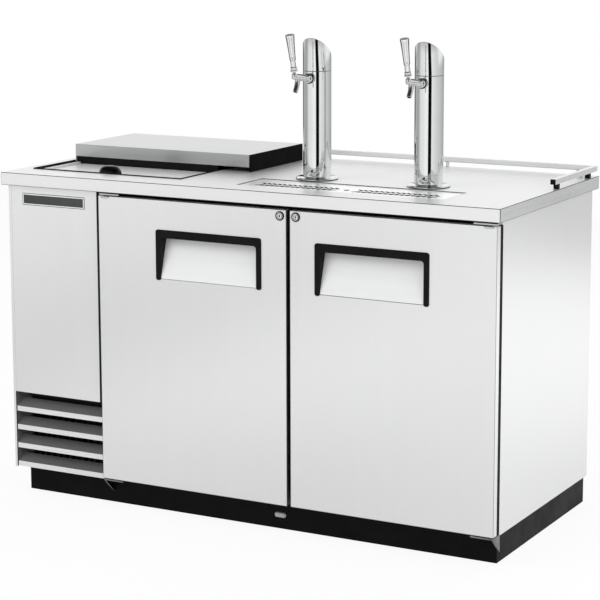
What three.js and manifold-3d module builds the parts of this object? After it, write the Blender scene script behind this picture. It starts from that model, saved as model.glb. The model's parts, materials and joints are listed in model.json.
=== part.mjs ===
// Two-door draft beer dispenser with a sliding lid, a drip tray and two tap columns.
// Lengths are millimetres. The origin is on the floor at the middle of the footprint, the front
// faces -Y, +X is to the right seen from the front and +Z is up.
import * as THREE from 'three';
import { mergeVertices } from 'three/addons/utils/BufferGeometryUtils.js';
import Module from 'manifold-3d';

const wasm = await Module();
wasm.setup();

// Fits, sheet thicknesses and the number of sides of round pieces
const seatGap = 0.3;
const overrun = 2;
const sheet = 2;
const insulation = 50;
const columnSides = 40;
const rodSides = 20;
const smallSides = 14;
const cornerSteps = 4;

// Worktop
const worktopLength = 1496;
const worktopDepth = 689;
const worktopTop = 914;
const worktopThickness = 35;

// Carcass, set back under the worktop's edges
const carcassSideInset = 15;
const carcassRearInset = 9.5;
const carcassFrontSetback = 50.5;
const machinePanelSetback = 14;
const machineRoomWidth = 355;
const sideFlange = 9;
const ventCount = 6;
const ventLength = 210;
const ventHeight = 8;
const ventPitch = 24;
const ventLow = 420;
const mullionWidth = 72;
const mullionDepth = 22;
const headStripDepth = 6;
const headStripHeight = 12.5;
const trayThickness = 4;

// Plinth
const plinthHeight = 71.5;
const plinthInsetLeft = 24;
const plinthInsetRight = 4;
const plinthFrontSetback = 52.5;
const plinthRearInset = 23;
const plinthFlange = 26;

// Lid opening, bottle well and lid
const lidOpeningFromLeft = 40;
const lidOpeningWidth = 480;
const lidOpeningFromFront = 103.5;
const lidOpeningFromRear = 78.5;
const collarWall = 3;
const collarDrop = 0.5;
const lidRecess = 8;
const wellFloorTop = 720;
const wellFloorThickness = 20;
const wellRimSide = 17.4;
const wellRimFront = 3.4;
const lidStep = 10;
const lidThickness = 12;
const lidDepth = 225;
const lidSideGap = 1.5;
const knobLength = 70;
const knobDepth = 46;
const knobHeight = 27;
const knobFromFront = 25;
const knobFromLeft = 233;

// Hood over the rear of the well
const hoodSideLap = 1;
const hoodWidth = 580;
const hoodOverLid = 27.6;
const hoodRearLap = 5.2;
const hoodHeight = 48.5;
const hoodFascia = 35;
const wiperThickness = 3;
const wiperLift = 0.5;
const wiperTopDrop = 12;

// Machine compartment front
const grilleBottom = 75;
const grilleTop = 290;
const grilleDepth = 30;
const louvreCount = 4;
const louvrePitch = 53.3;
const louvreLip = 14.5;
const louvreRise = 20;
const louvreRun = 26;
const louvreSheet = 1.5;
const frontGap = 1;
const panelToDoorGap = 3.5;

// Doors
const doorOverPartition = 49;
const doorMiddleShift = 1.1;
const doorMiddleGap = 10;
const doorOverhangRight = 6.4;
const doorSetback = 3;
const doorThickness = 37.5;
const doorBottom = 81;
const doorHeadGap = 10;
const pivotInset = 8;
const gasketInset = 9;
const gasketWidth = 14;

// Door handles
const bezelHingeShare = 0.7118;
const bezelWidth = 322.5;
const bezelHeight = 137;
const bezelTopDrop = 78.5;
const bezelBand = 22;
const bezelLeg = 15;
const bezelProud = 2.5;
const bezelCorner = 9;
const legOverPocket = 8;
const pocketDepth = 32;
const pocketWall = 3;
const pocketPlate = 1.2;
const pocketPlateStartShare = 0.03;
const pocketPlateEndShare = 0.98;

// Door locks
const lockFromFreeEdge = 18.3;
const lockTopDrop = 15.5;
const lockHeadRadius = 11.5;
const lockHeadProud = 2.4;
const lockBarrelRadius = 9.4;
const lockBarrelDepth = 24;
const keyway = 2;
const keywayHeight = 7;
const keywayDepth = 3;

// Hinge brackets
const bracketLength = 62;
const bracketThickness = 4;
const bracketFromPivot = 6;
const bracketDoorGap = 2.5;
const pinRadius = 4;
const pinDepth = 20;
const gussetHeight = 43;
const gussetThickness = 3;

// Rails on the worktop
const railSize = 14;
const railInset = 2;
const railLift = 14;
const railHoodGap = 4;
const sideRailFront = 25;
const railStudSize = 8;
const sideStudFromEnd = 25;
const sideStudFromCorner = 63.5;
const rearStudFromEnd = 30;
const rearStudFromCorner = 51;

// Drip tray
const trayShift = 49.5;
const trayFromFront = 151.5;
const trayLength = 600;
const trayWidth = 138;
const panDepth = 30;
const panWall = 2;
const panLedge = 5;
const dripPlateThickness = 2.5;
const dripPlateDrop = 2;
const dripGridCount = 2;
const dripGridLength = 232;
const dripGridWidth = 57;
const dripGridPitch = 286;
const dripGridShift = 18;
const slotsPerRow = 15;
const slotRows = 2;
const slotWidth = 5.5;
const slotLength = 24;
const slotSlant = 42;
const fingerHoleRadius = 8.5;
const drainRadius = 12;
const drainBore = 9;
const drainDrop = 90;

// Columns
const columnSpacing = 330;
const columnBehindTray = 131;
const columnRadius = 38.1;
const columnWall = 3.1;
const seamOverShank = 18.5;
const capHeight = 90;
const capSlant = 41;
const capRoof = 4;
const flangeRadius = 57;
const flangeThickness = 6;
const beerHoleRadius = 20;

// Faucets: the shank's height is above the worktop, and the points of the lever and the spout are
// distances in front of the column's axis and rises over the shank
const shankHeight = 273.5;
const shankRadius = 9.5;
const shankCollarRadius = 13.5;
const shankCollarFront = 47;
const shankTail = 13;
const shankNutRadius = 15;
const shankNutLength = 9;
const nutSides = 6;
const couplingRadius = 12.5;
const couplingLength = 13;
const faucetNeck = 9.5;
const faucetWaist = 9.2;
const faucetNose = 8.2;
const faucetWaistAt = 42;
const faucetNoseAt = 72;
const faucetNoseEnd = 82;
const faucetLength = 88;
const faucetTip = 5;
const faucetTilt = 8;
const bonnetRadius = 8;
const leverForward = 127.5;
const leverRise = 19.5;
const leverBall = 5;
const leverTilt = 13.4;
const spoutRadius = 7;
const spoutBore = 4.7;
const spoutBoreDepth = 15;
const spoutSteps = 8;
const spoutRoot = [108, 9];
const spoutKnee = [110, -4];
const spoutBend = [114, -15];
const spoutTip = [123, -29];

// Tap levers and handles, along the lever's own axis from its ball
const stemRadius = 3.2;
const ringLow = 6.5;
const ringRadius = 10;
const ringHeight = 4;
const grooveRadius = 7;
const grooveHeight = 2;
const collarRadius = 8.5;
const collarHeight = 6;
const studRadius = 4;
const studLength = 26;
const handleFoot = 7;
const handleWaist = 6.6;
const ferruleLength = 18;
const handleLow = 8.2;
const handleTopRadius = 12;
const handleLength = 69;
const handleEdge = 2;

// Beer tubes
const beerTubeRadius = 5;
const beerTubeDrop = 150;
const beerTubeBend = 30;
const beerTubeSteps = 8;
const couplerRadius = 12;
const couplerLength = 18;

// Condensing unit
const coilFromSide = 33;
const coilFromPartition = 22;
const coilFromFront = 44.5;
const coilDepth = 36;
const coilHeight = 200;
const finCount = 12;
const finSlot = 14;
const finSlotDepth = 26;
const fanGap = 6;
const shroudThickness = 3;
const shroudHoleShare = 0.376;
const fanCentreHeight = 185;
const motorRadius = 38;
const motorLength = 60;
const motorSetback = 46;
const strutWidth = 12;
const shaftRadius = 4;
const condenserBlades = 4;
const condenserBladeClear = 28;
const condenserBladeWidth = 44;
const hubRadius = 22;
const hubLength = 24;
const bladeThickness = 2;
const bladePitch = 28;
const compressorShift = 38.5;
const compressorRadius = 88;
const compressorHeight = 185;
const compressorDome = 40;
const compressorFootSpan = 210;
const compressorFootHeight = 14;
const compressorFootRadius = 14;
const compressorPlate = 4;

// Evaporator
const evaporatorDepth = 78;
const evaporatorFromRear = 85;
const evaporatorWidth = 320;
const evaporatorBottom = 430;
const evaporatorHeight = 262;
const evaporatorWall = 3;
const evaporatorHole = 74;
const evaporatorMotorRadius = 30;
const evaporatorMotorLength = 34;
const evaporatorShaft = 24;
const evaporatorBlades = 4;
const evaporatorBladeLength = 48;
const evaporatorBladeWidth = 38;
const evaporatorHub = 16;
const evaporatorHubLength = 22;
const knobRadius = 18;
const thermostatDepth = 16;
const thermostatPin = 5;
const thermostatRise = 60;
const thermostatMark = 2.5;

// Keg floor plate and power inlet
const kegPlateInset = 8;
const kegPlateThickness = 2;
const kegRibHeight = 4;
const kegRibWidth = 10;
const kegRibCount = 9;
const inletFromSide = 133;
const inletZ = 150;
const inletRadius = 11;
const inletFlange = 19;
const inletFlangeThickness = 5;
const inletDepth = 22;

// Places worked out from the sizes above
const halfLength = worktopLength / 2;
const halfDepth = worktopDepth / 2;
const worktopBottom = worktopTop - worktopThickness;
const carcassLeft = -halfLength + carcassSideInset;
const carcassRight = halfLength - carcassSideInset;
const carcassBack = halfDepth - carcassRearInset;
const carcassFront = -halfDepth + carcassFrontSetback;
const carcassBottom = plinthHeight + seatGap;
const carcassTop = worktopBottom - seatGap;
const machinePanelFront = -halfDepth + machinePanelSetback;
const partitionRight = carcassLeft + machineRoomWidth;
const plinthFront = -halfDepth + plinthFrontSetback;
const partitionLeft = partitionRight - insulation;
const roomRight = carcassRight - insulation;
const roomBack = carcassBack - insulation;
const floorTop = carcassBottom + insulation;
const ceilingBottom = carcassTop - insulation;
const machineTrayTop = carcassBottom + trayThickness;
const lidOpeningLeft = -halfLength + lidOpeningFromLeft;
const lidOpeningRight = lidOpeningLeft + lidOpeningWidth;
const lidOpeningFront = -halfDepth + lidOpeningFromFront;
const lidOpeningBack = halfDepth - lidOpeningFromRear;
const wellBottom = wellFloorTop - wellFloorThickness;
const wellTop = worktopTop - lidRecess;
const collarInset = seatGap + collarWall + seatGap;
const lidBottom = wellTop - lidThickness;
const lidFront = lidOpeningFront + collarInset + wellRimFront + seatGap;
const hoodTop = worktopTop + hoodHeight;
const hoodLeft = lidOpeningLeft - hoodSideLap;
const hoodRight = hoodLeft + hoodWidth;
const hoodFront = lidFront + lidDepth - hoodOverLid;
const hoodBack = lidOpeningBack + hoodRearLap;
const trayCentreX = (hoodRight + halfLength) / 2 - trayShift;
const trayCentreY = -halfDepth + trayFromFront;
const dripGridCentreY = trayCentreY - dripGridShift;
const columnY = trayCentreY + columnBehindTray;
const columnSeam = shankHeight + seamOverShank;
const columnPeak = columnSeam + capHeight;
const leverHeight = shankHeight + leverRise;
const doorPlane = -halfDepth + doorSetback;
const doorTop = worktopBottom - doorHeadGap;
const doorRightEdge = carcassRight + doorOverhangRight;
const doorLeftEdge = partitionRight - doorOverPartition;
const doorMiddleX = (doorLeftEdge + doorRightEdge) / 2 + doorMiddleShift;
const panelRight = doorLeftEdge - panelToDoorGap;
const grilleLeft = carcassLeft + sideFlange + seatGap;
const bezelTop = doorTop - bezelTopDrop;
const bezelLow = bezelTop - bezelHeight;
const pocketTop = bezelTop - bezelBand;
const pocketLow = bezelLow + legOverPocket;
const panTop = worktopTop - dripPlateDrop / 2;
const panFloorTop = worktopTop - panDepth;
const dripPlateTop = worktopTop - dripPlateDrop;
const ledgeTop = dripPlateTop - dripPlateThickness - seatGap;
const railBottom = worktopTop + railLift;
const railOuterX = halfLength - railInset;
const railOuterY = halfDepth - railInset;
const railEndX = hoodRight + railHoodGap;
const coilLeft = carcassLeft + coilFromSide;
const coilWidth = machineRoomWidth - insulation - coilFromSide - coilFromPartition;
const shroudHole = coilWidth * shroudHoleShare;
const condenserBladeLength = shroudHole - condenserBladeClear;
const coilFront = machinePanelFront + coilFromFront;
const fanMotorBack = coilFront + coilDepth + fanGap + motorSetback + motorLength;
const compressorX = coilLeft + coilWidth / 2;
const compressorY = (fanMotorBack + carcassBack) / 2 - compressorShift;
const inletX = carcassLeft + inletFromSide;
const evaporatorFront = roomBack - evaporatorFromRear - evaporatorWidth;

// Colours and finishes
const brushedSteel = { color: 0xc8cacb, roughness: 0.35, metalness: 1 };
const polishedSteel = { color: 0xd8dadb, roughness: 0.12, metalness: 1 };
const galvanised = { color: 0x9ea2a3, roughness: 0.5, metalness: 0.9 };
const blackPaint = { color: 0x101112, roughness: 0.5, metalness: 0 };
const blackPlastic = { color: 0x0c0c0d, roughness: 0.35, metalness: 0 };
const blackRubber = { color: 0x0a0a0a, roughness: 0.8, metalness: 0 };
const whiteLiner = { color: 0xe8e9e8, roughness: 0.4, metalness: 0 };
const clearPlastic = { color: 0xe6e7ea, roughness: 0.1, metalness: 0, transparent: true, opacity: 0.55 };
const finned = { color: 0xb4b6b8, roughness: 0.4, metalness: 1 };

// Shape helpers

// A closed solid of a geometry whose shared corners are merged and whose flat slivers are dropped.
function solidOf(geometry) {
  const bare = geometry.clone();
  bare.deleteAttribute('normal');
  bare.deleteAttribute('uv');
  const merged = mergeVertices(bare);
  const corners = merged.index.array;
  const kept = [];
  for (let i = 0; i < corners.length; i += 3) {
    const [a, b, c] = corners.slice(i, i + 3);
    if (a !== b && b !== c && c !== a) kept.push(a, b, c);
  }
  return new wasm.Manifold(new wasm.Mesh({
    numProp: 3,
    vertProperties: new Float32Array(merged.attributes.position.array),
    triVerts: new Uint32Array(kept),
  }));
}

function geometryOf(solid) {
  const mesh = solid.getMesh();
  const geometry = new THREE.BufferGeometry();
  geometry.setAttribute('position', new THREE.BufferAttribute(mesh.vertProperties, 3));
  geometry.setIndex(new THREE.BufferAttribute(mesh.triVerts, 1));
  geometry.computeVertexNormals();
  return geometry;
}

function join(...geometries) {
  return geometryOf(geometries.map(solidOf).reduce((whole, piece) => whole.add(piece)));
}

function cut(body, ...tools) {
  return geometryOf(tools.map(solidOf).reduce((left, tool) => left.subtract(tool), solidOf(body)));
}

function block([x0, x1], [y0, y1], [z0, z1]) {
  const geometry = new THREE.BoxGeometry(Math.abs(x1 - x0), Math.abs(y1 - y0), Math.abs(z1 - z0));
  return geometry.translate((x0 + x1) / 2, (y0 + y1) / 2, (z0 + z1) / 2);
}

function rodAlongY(radius, [y0, y1], x, z, sides = rodSides) {
  const geometry = new THREE.CylinderGeometry(radius, radius, Math.abs(y1 - y0), sides);
  return geometry.translate(x, (y0 + y1) / 2, z);
}

function rodAlongZ(radius, [z0, z1], x, y, sides = rodSides) {
  const geometry = new THREE.CylinderGeometry(radius, radius, Math.abs(z1 - z0), sides);
  return geometry.rotateX(Math.PI / 2).translate(x, y, (z0 + z1) / 2);
}

function rodAlongX(radius, [x0, x1], y, z, sides = rodSides) {
  const geometry = new THREE.CylinderGeometry(radius, radius, Math.abs(x1 - x0), sides);
  return geometry.rotateZ(Math.PI / 2).translate((x0 + x1) / 2, y, z);
}

// A profile of [radius, height] corners, from bottom to top, turned about the Z axis.
function turned(corners, sides) {
  const geometry = new THREE.LatheGeometry(corners.map(([r, h]) => new THREE.Vector2(r, h)), sides);
  return geometry.rotateX(Math.PI / 2);
}

function outline(corners) {
  return new THREE.Shape(corners.map(([u, v]) => new THREE.Vector2(u, v)));
}

// A flat outline pushed along one axis: [y, z] corners along X, [x, y] corners along Z.
function prismAlongX(corners, [x0, x1]) {
  const geometry = new THREE.ExtrudeGeometry(outline(corners), { depth: x1 - x0, bevelEnabled: false });
  const turn = new THREE.Matrix4().makeBasis(
    new THREE.Vector3(0, 1, 0), new THREE.Vector3(0, 0, 1), new THREE.Vector3(1, 0, 0));
  return geometry.applyMatrix4(turn).translate(x0, 0, 0);
}

function prismAlongZ(corners, [z0, z1]) {
  const geometry = new THREE.ExtrudeGeometry(outline(corners), { depth: z1 - z0, bevelEnabled: false });
  return geometry.translate(0, 0, z0);
}

function circle(radius, sides) {
  const corners = [];
  for (let i = 0; i < sides; i += 1) {
    const turn = 2 * Math.PI * i / sides;
    corners.push([radius * Math.cos(turn), radius * Math.sin(turn)]);
  }
  return outline(corners);
}

// A round bar along a smooth line through [x, y, z] points.
function bar(points, radius, sides, steps) {
  const path = new THREE.CatmullRomCurve3(points.map((p) => new THREE.Vector3(...p)));
  return new THREE.ExtrudeGeometry(circle(radius, sides), { steps, extrudePath: path, bevelEnabled: false });
}

function piece(name, geometry, finish) {
  const mesh = new THREE.Mesh(geometry, new THREE.MeshStandardMaterial(finish));
  mesh.name = name;
  return mesh;
}

function around([low, high], margin) {
  return [low - margin, high + margin];
}

// Carcass

function plinth() {
  const x = [carcassLeft + plinthInsetLeft, carcassRight - plinthInsetRight];
  const y = [plinthFront, halfDepth - plinthRearInset];
  const hollow = block(around(x, -sheet), around(y, -sheet), [sheet, plinthHeight + overrun]);
  const hole = block(around(x, -plinthFlange), around(y, -plinthFlange), [-overrun, plinthHeight]);
  return cut(block(x, y, [0, plinthHeight]), hollow, hole);
}

function cabinetFloor() {
  const machineTray = block(
    [carcassLeft + sheet + seatGap, partitionLeft - seatGap], [plinthFront, carcassBack - sheet - seatGap],
    [carcassBottom, machineTrayTop]);
  const coldFloor = block(
    [partitionLeft - overrun, roomRight - seatGap], [carcassFront, roomBack - seatGap],
    [carcassBottom, floorTop]);
  return join(machineTray, coldFloor);
}

function leftSidePanel() {
  const corners = [
    [carcassLeft, machinePanelFront],
    [carcassLeft + sideFlange, machinePanelFront],
    [carcassLeft + sideFlange, machinePanelFront + sheet],
    [carcassLeft + sheet, machinePanelFront + sheet],
    [carcassLeft + sheet, carcassBack],
    [carcassLeft, carcassBack],
  ];
  return prismAlongZ(corners, [carcassBottom, carcassTop]);
}

// Rear sheet of the machine compartment with its row of air slots and the hole for the power inlet.
function machineRearPanel() {
  const x = [carcassLeft + sheet + seatGap, partitionLeft - seatGap];
  const y = [carcassBack - sheet, carcassBack];
  const middle = (x[0] + x[1]) / 2;
  const through = around(y, overrun);
  const vents = [];
  for (let i = 0; i < ventCount; i += 1) {
    const low = ventLow + i * ventPitch;
    vents.push(block([middle - ventLength / 2, middle + ventLength / 2], through, [low, low + ventHeight]));
  }
  const inlet = rodAlongY(inletRadius + seatGap, through, inletX, inletZ, smallSides);
  return cut(block(x, y, [carcassBottom, carcassTop]), ...vents, inlet);
}

function rightSidePanel() {
  return block([roomRight, carcassRight], [carcassFront, carcassBack], [carcassBottom, carcassTop]);
}

function backPanel() {
  return block([partitionLeft, roomRight - seatGap], [roomBack, carcassBack], [carcassBottom, carcassTop]);
}

function partitionWall() {
  return block([partitionLeft, partitionRight], [carcassFront, roomBack - seatGap],
    [floorTop + seatGap, wellBottom - seatGap]);
}

// Ceiling of the cold room, with the dark strip over the doors and the holes for lines and drain.
function coldRoomCeiling() {
  const top = carcassTop;
  const slab = block([lidOpeningRight, roomRight - seatGap], [carcassFront, roomBack - seatGap],
    [ceilingBottom, top]);
  const strip = block([partitionLeft, carcassRight], [carcassFront - headStripDepth, carcassFront - seatGap],
    [top - headStripHeight, top]);
  const tie = block([lidOpeningRight, roomRight - seatGap],
    [carcassFront - headStripDepth, carcassFront + headStripDepth], [top - headStripHeight, top]);
  const z = [ceilingBottom - overrun, top + overrun];
  const holes = columnPlaces().map((x) => rodAlongZ(beerHoleRadius, z, x, columnY));
  const drain = rodAlongZ(drainRadius + overrun, z, trayCentreX, trayCentreY);
  return cut(join(slab, strip, tie), ...holes, drain);
}

function doorMullion() {
  return block([doorMiddleX - mullionWidth / 2, doorMiddleX + mullionWidth / 2],
    [carcassFront, carcassFront + mullionDepth], [floorTop + seatGap, ceilingBottom - seatGap]);
}

function kegFloorPlate() {
  const x = [partitionRight + kegPlateInset, roomRight - kegPlateInset];
  const y = [carcassFront + mullionDepth + kegPlateInset, roomBack - kegPlateInset];
  const low = floorTop + seatGap;
  const plate = block(x, y, [low, low + kegPlateThickness]);
  const ribs = [];
  for (let i = 0; i < kegRibCount; i += 1) {
    const middle = x[0] + (x[1] - x[0]) * (i + 0.5) / kegRibCount;
    ribs.push(block([middle - kegRibWidth / 2, middle + kegRibWidth / 2], y,
      [low, low + kegPlateThickness + kegRibHeight]));
  }
  return join(plate, ...ribs);
}

// Worktop, hood, well and rails

function columnPlaces() {
  return [trayCentreX - columnSpacing / 2, trayCentreX + columnSpacing / 2];
}

function trayX(margin) {
  return around([trayCentreX - trayLength / 2, trayCentreX + trayLength / 2], margin);
}

function trayY(margin) {
  return around([trayCentreY - trayWidth / 2, trayCentreY + trayWidth / 2], margin);
}

function worktop() {
  const slab = block([-halfLength, halfLength], [-halfDepth, halfDepth], [worktopBottom, worktopTop]);
  const z = [worktopBottom - overrun, worktopTop + overrun];
  const lidHole = block([lidOpeningLeft, lidOpeningRight], [lidOpeningFront, lidOpeningBack], z);
  const trayHole = block(trayX(0), trayY(0), z);
  const lineHoles = columnPlaces().map((x) => rodAlongZ(beerHoleRadius, z, x, columnY));
  return cut(slab, lidHole, trayHole, ...lineHoles);
}

function wellCollar() {
  const x = [lidOpeningLeft, lidOpeningRight];
  const y = [lidOpeningFront, lidOpeningBack];
  const outer = block(around(x, -seatGap), around(y, -seatGap), [worktopBottom, worktopTop - collarDrop]);
  const inset = seatGap + collarWall;
  const inner = block(around(x, -inset), around(y, -inset), [worktopBottom - overrun, worktopTop + overrun]);
  return cut(outer, inner);
}

function bottleWell() {
  const x = around([lidOpeningLeft, lidOpeningRight], -collarInset);
  const y = around([lidOpeningFront, lidOpeningBack], -collarInset);
  const runway = block(around(x, -wellRimSide), around(y, -wellRimFront), [lidBottom - seatGap, wellTop + overrun]);
  const bin = block(around(x, -wellRimSide - lidStep), around(y, -wellRimFront - lidStep),
    [wellFloorTop, wellTop]);
  return cut(block(x, y, [wellBottom, wellTop]), runway, bin);
}

function slidingLid() {
  const inset = collarInset + wellRimSide + lidSideGap;
  return block(around([lidOpeningLeft, lidOpeningRight], -inset), [lidFront, lidFront + lidDepth],
    [lidBottom, wellTop]);
}

// Squat oval dome with its flat side down.
function lidKnob() {
  const r = knobLength / 2;
  const profile = [[0, 0], [r, 0]];
  for (let i = 1; i < 6; i += 1) {
    const turn = Math.PI / 2 * i / 6;
    profile.push([r * Math.cos(turn) ** 0.6, knobHeight * Math.sin(turn)]);
  }
  profile.push([0, knobHeight]);
  const dome = turned(profile, rodSides).scale(1, knobDepth / knobLength, 1);
  return dome.translate(lidOpeningLeft + knobFromLeft, lidFront + knobFromFront, wellTop + seatGap);
}

function hoodCover() {
  const x = [hoodLeft, hoodRight - sheet - seatGap];
  const y = [hoodFront, hoodBack];
  const low = worktopTop + seatGap;
  const inside = block([hoodLeft + sheet, hoodRight + overrun], around(y, -sheet), [low - overrun, hoodTop - sheet]);
  const underFascia = block([hoodLeft + sheet, hoodRight + overrun], [hoodFront - overrun, hoodFront + sheet + overrun],
    [low - overrun, hoodTop - hoodFascia]);
  return cut(block(x, y, [low, hoodTop]), inside, underFascia);
}

function hoodEndRight() {
  return block([hoodRight - sheet, hoodRight], [hoodFront, hoodBack], [worktopTop + seatGap, hoodTop]);
}

function hoodWiper() {
  const x = around([lidOpeningLeft, lidOpeningRight], -collarInset - seatGap);
  const y = hoodFront + sheet + seatGap;
  return block(x, [y, y + wiperThickness], [wellTop + wiperLift, hoodTop - wiperTopDrop]);
}

// Studs that carry a rail on the worktop at the listed [x, y] places.
function railStuds(places) {
  const z = [worktopTop + seatGap, railBottom + overrun];
  return places.map(([x, y]) => block(around([x, x], railStudSize / 2), around([y, y], railStudSize / 2), z));
}

function rearRail() {
  const y = [railOuterY - railSize, railOuterY];
  const tube = block([railEndX, railOuterX], y, [railBottom, railBottom + railSize]);
  const ends = [railEndX + rearStudFromEnd, railOuterX - rearStudFromCorner];
  const places = [ends[0], (ends[0] + ends[1]) / 2, ends[1]];
  return join(tube, ...railStuds(places.map((x) => [x, (y[0] + y[1]) / 2])));
}

function sideRail() {
  const x = [railOuterX - railSize, railOuterX];
  const tube = block(x, [sideRailFront, railOuterY - railSize - seatGap], [railBottom, railBottom + railSize]);
  const places = [sideRailFront + sideStudFromEnd, railOuterY - sideStudFromCorner];
  return join(tube, ...railStuds(places.map((y) => [(x[0] + x[1]) / 2, y])));
}

// Drip tray

function dripPan() {
  const outer = block(trayX(-seatGap), trayY(-seatGap), [panFloorTop - panWall, panTop]);
  const plateSeat = block(trayX(-seatGap - panWall), trayY(-seatGap - panWall), [ledgeTop, worktopTop + overrun]);
  const inner = -seatGap - panWall - panLedge;
  const basin = block(trayX(inner), trayY(inner), [panFloorTop, worktopTop]);
  const spigot = rodAlongZ(drainRadius, [panFloorTop - drainDrop, panFloorTop], trayCentreX, trayCentreY);
  const bore = rodAlongZ(drainBore, [panFloorTop - drainDrop - overrun, worktopTop], trayCentreX, trayCentreY);
  return cut(join(cut(outer, plateSeat, basin), spigot), bore);
}

// A slot with round ends, centred on the origin and leaning by an angle.
function roundEndedSlot(length, width, lean, z) {
  const reach = (length - width) / 2;
  const corners = [];
  for (const side of [1, -1]) {
    for (let i = -2; i <= 2; i += 1) {
      const turn = Math.PI / 4 * i;
      corners.push([side * (reach + width / 2 * Math.cos(turn)), side * width / 2 * Math.sin(turn)]);
    }
  }
  return prismAlongZ(corners, z).rotateZ(lean);
}

// Slanted slots in two rows that lean opposite ways, in each of the two grids.
function dripSlots(z) {
  const slots = [];
  for (let grid = 0; grid < dripGridCount; grid += 1) {
    const gridX = trayCentreX + (grid - (dripGridCount - 1) / 2) * dripGridPitch;
    for (let row = 0; row < slotRows; row += 1) {
      const rowY = dripGridCentreY + ((row + 0.5) / slotRows - 0.5) * dripGridWidth;
      const lean = (row % 2 === 0 ? 1 : -1) * THREE.MathUtils.degToRad(slotSlant);
      for (let i = 0; i < slotsPerRow; i += 1) {
        const x = gridX + ((i + 0.5) / slotsPerRow - 0.5) * dripGridLength;
        slots.push(roundEndedSlot(slotLength, slotWidth, lean, z).translate(x, rowY, 0));
      }
    }
  }
  return slots;
}

function dripPlate() {
  const margin = -seatGap - panWall - seatGap;
  const z = [dripPlateTop - dripPlateThickness, dripPlateTop];
  const through = around(z, overrun);
  const fingerHole = rodAlongZ(fingerHoleRadius, through, trayCentreX, dripGridCentreY, smallSides);
  return cut(block(trayX(margin), trayY(margin), z), ...dripSlots(through), fingerHole);
}

// Columns and taps, in the frame of a column that stands at the group's origin on the worktop

function column() {
  const inner = columnRadius - columnWall;
  const low = seatGap;
  const profile = [
    [inner, low], [flangeRadius, low], [flangeRadius, low + flangeThickness / 2],
    [flangeRadius - flangeThickness / 2, low + flangeThickness], [columnRadius, low + flangeThickness],
    [columnRadius, columnSeam], [inner, columnSeam], [inner, low],
  ];
  const hole = rodAlongY(shankRadius + seatGap, [-columnRadius - overrun, 0], 0, shankHeight);
  return cut(turned(profile, columnSides), hole);
}

// Everything above a plane that falls from the column's front to its back.
function slantedHalfSpace(drop) {
  const span = 3 * columnRadius;
  const slope = Math.tan(THREE.MathUtils.degToRad(capSlant));
  const front = columnPeak - drop + (span - columnRadius) * slope;
  const back = columnPeak - drop - (span + columnRadius) * slope;
  return prismAlongX([[-span, front], [span, back], [span, front + span], [-span, front + span]], [-span, span]);
}

function columnCap() {
  const low = columnSeam + seatGap;
  const outer = cut(turnedRod(columnRadius, [low, columnPeak + overrun]), slantedHalfSpace(0));
  const roofDrop = capRoof / Math.cos(THREE.MathUtils.degToRad(capSlant));
  const inner = cut(turnedRod(columnRadius - columnWall, [low - overrun, columnPeak]), slantedHalfSpace(roofDrop));
  return cut(outer, inner);
}

function turnedRod(radius, [z0, z1]) {
  return turned([[0, z0], [radius, z0], [radius, z1], [0, z1]], columnSides);
}

// Threaded shank through the column's wall, with its collar outside and its nut inside.
function shank() {
  const collar = rodAlongY(shankCollarRadius, [-shankCollarFront, 0], 0, shankHeight);
  const inside = columnRadius - columnWall - seatGap;
  const nut = rodAlongY(shankNutRadius, [-inside, -inside + shankNutLength], 0, shankHeight, nutSides);
  const z = [shankHeight - columnRadius, shankHeight + columnRadius];
  const collarOutside = cut(collar, turnedRod(columnRadius + seatGap, z));
  const reach = turnedRod(inside, z);
  const nutInside = geometryOf(solidOf(nut).intersect(solidOf(reach)));
  const shaft = rodAlongY(shankRadius, [-shankCollarFront, -shankTail], 0, shankHeight);
  return join(collarOutside, nutInside, shaft);
}

// Faucet body: a coupling ring and a waisted barrel along the tilted axis, a bonnet with a cup for
// the lever's ball on top, and a bent spout with an open mouth.
function faucet() {
  const barrel = turned([
    [0, 0], [couplingRadius, 0], [couplingRadius, couplingLength], [faucetNeck, couplingLength + overrun],
    [faucetWaist, faucetWaistAt], [faucetNose, faucetNoseAt], [faucetNose, faucetNoseEnd],
    [faucetTip, faucetLength], [0, faucetLength],
  ], rodSides);
  barrel.rotateX(Math.PI / 2 - THREE.MathUtils.degToRad(faucetTilt));
  barrel.translate(0, -shankCollarFront - seatGap + overrun, shankHeight);
  const behind = block(around([0, 0], columnRadius), [-shankCollarFront - seatGap, 0],
    [shankHeight - columnRadius, shankHeight + columnRadius]);
  const bonnet = rodAlongZ(bonnetRadius, [shankHeight, leverHeight], 0, -leverForward);
  const cup = rodAlongZ(leverBall + seatGap, [leverHeight - leverBall - seatGap, leverHeight + overrun],
    0, -leverForward);
  const line = [spoutRoot, spoutKnee, spoutBend, spoutTip].map(([forward, rise]) => [0, -forward, shankHeight + rise]);
  const spout = bar(line, spoutRadius, smallSides, spoutSteps);
  return cut(join(cut(barrel, behind), bonnet, spout), cup, spoutMouth());
}

function spoutMouth() {
  const tip = new THREE.Vector3(0, -spoutTip[0], shankHeight + spoutTip[1]);
  const bend = new THREE.Vector3(0, -spoutBend[0], shankHeight + spoutBend[1]);
  const along = tip.clone().sub(bend).normalize();
  const inner = tip.clone().addScaledVector(along, -spoutBoreDepth);
  const outer = tip.clone().addScaledVector(along, overrun);
  const path = new THREE.LineCurve3(inner, outer);
  return new THREE.ExtrudeGeometry(circle(spoutBore, smallSides), { steps: 1, extrudePath: path });
}

const leverShoulder = ringLow + ringHeight + grooveHeight + collarHeight;

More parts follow.
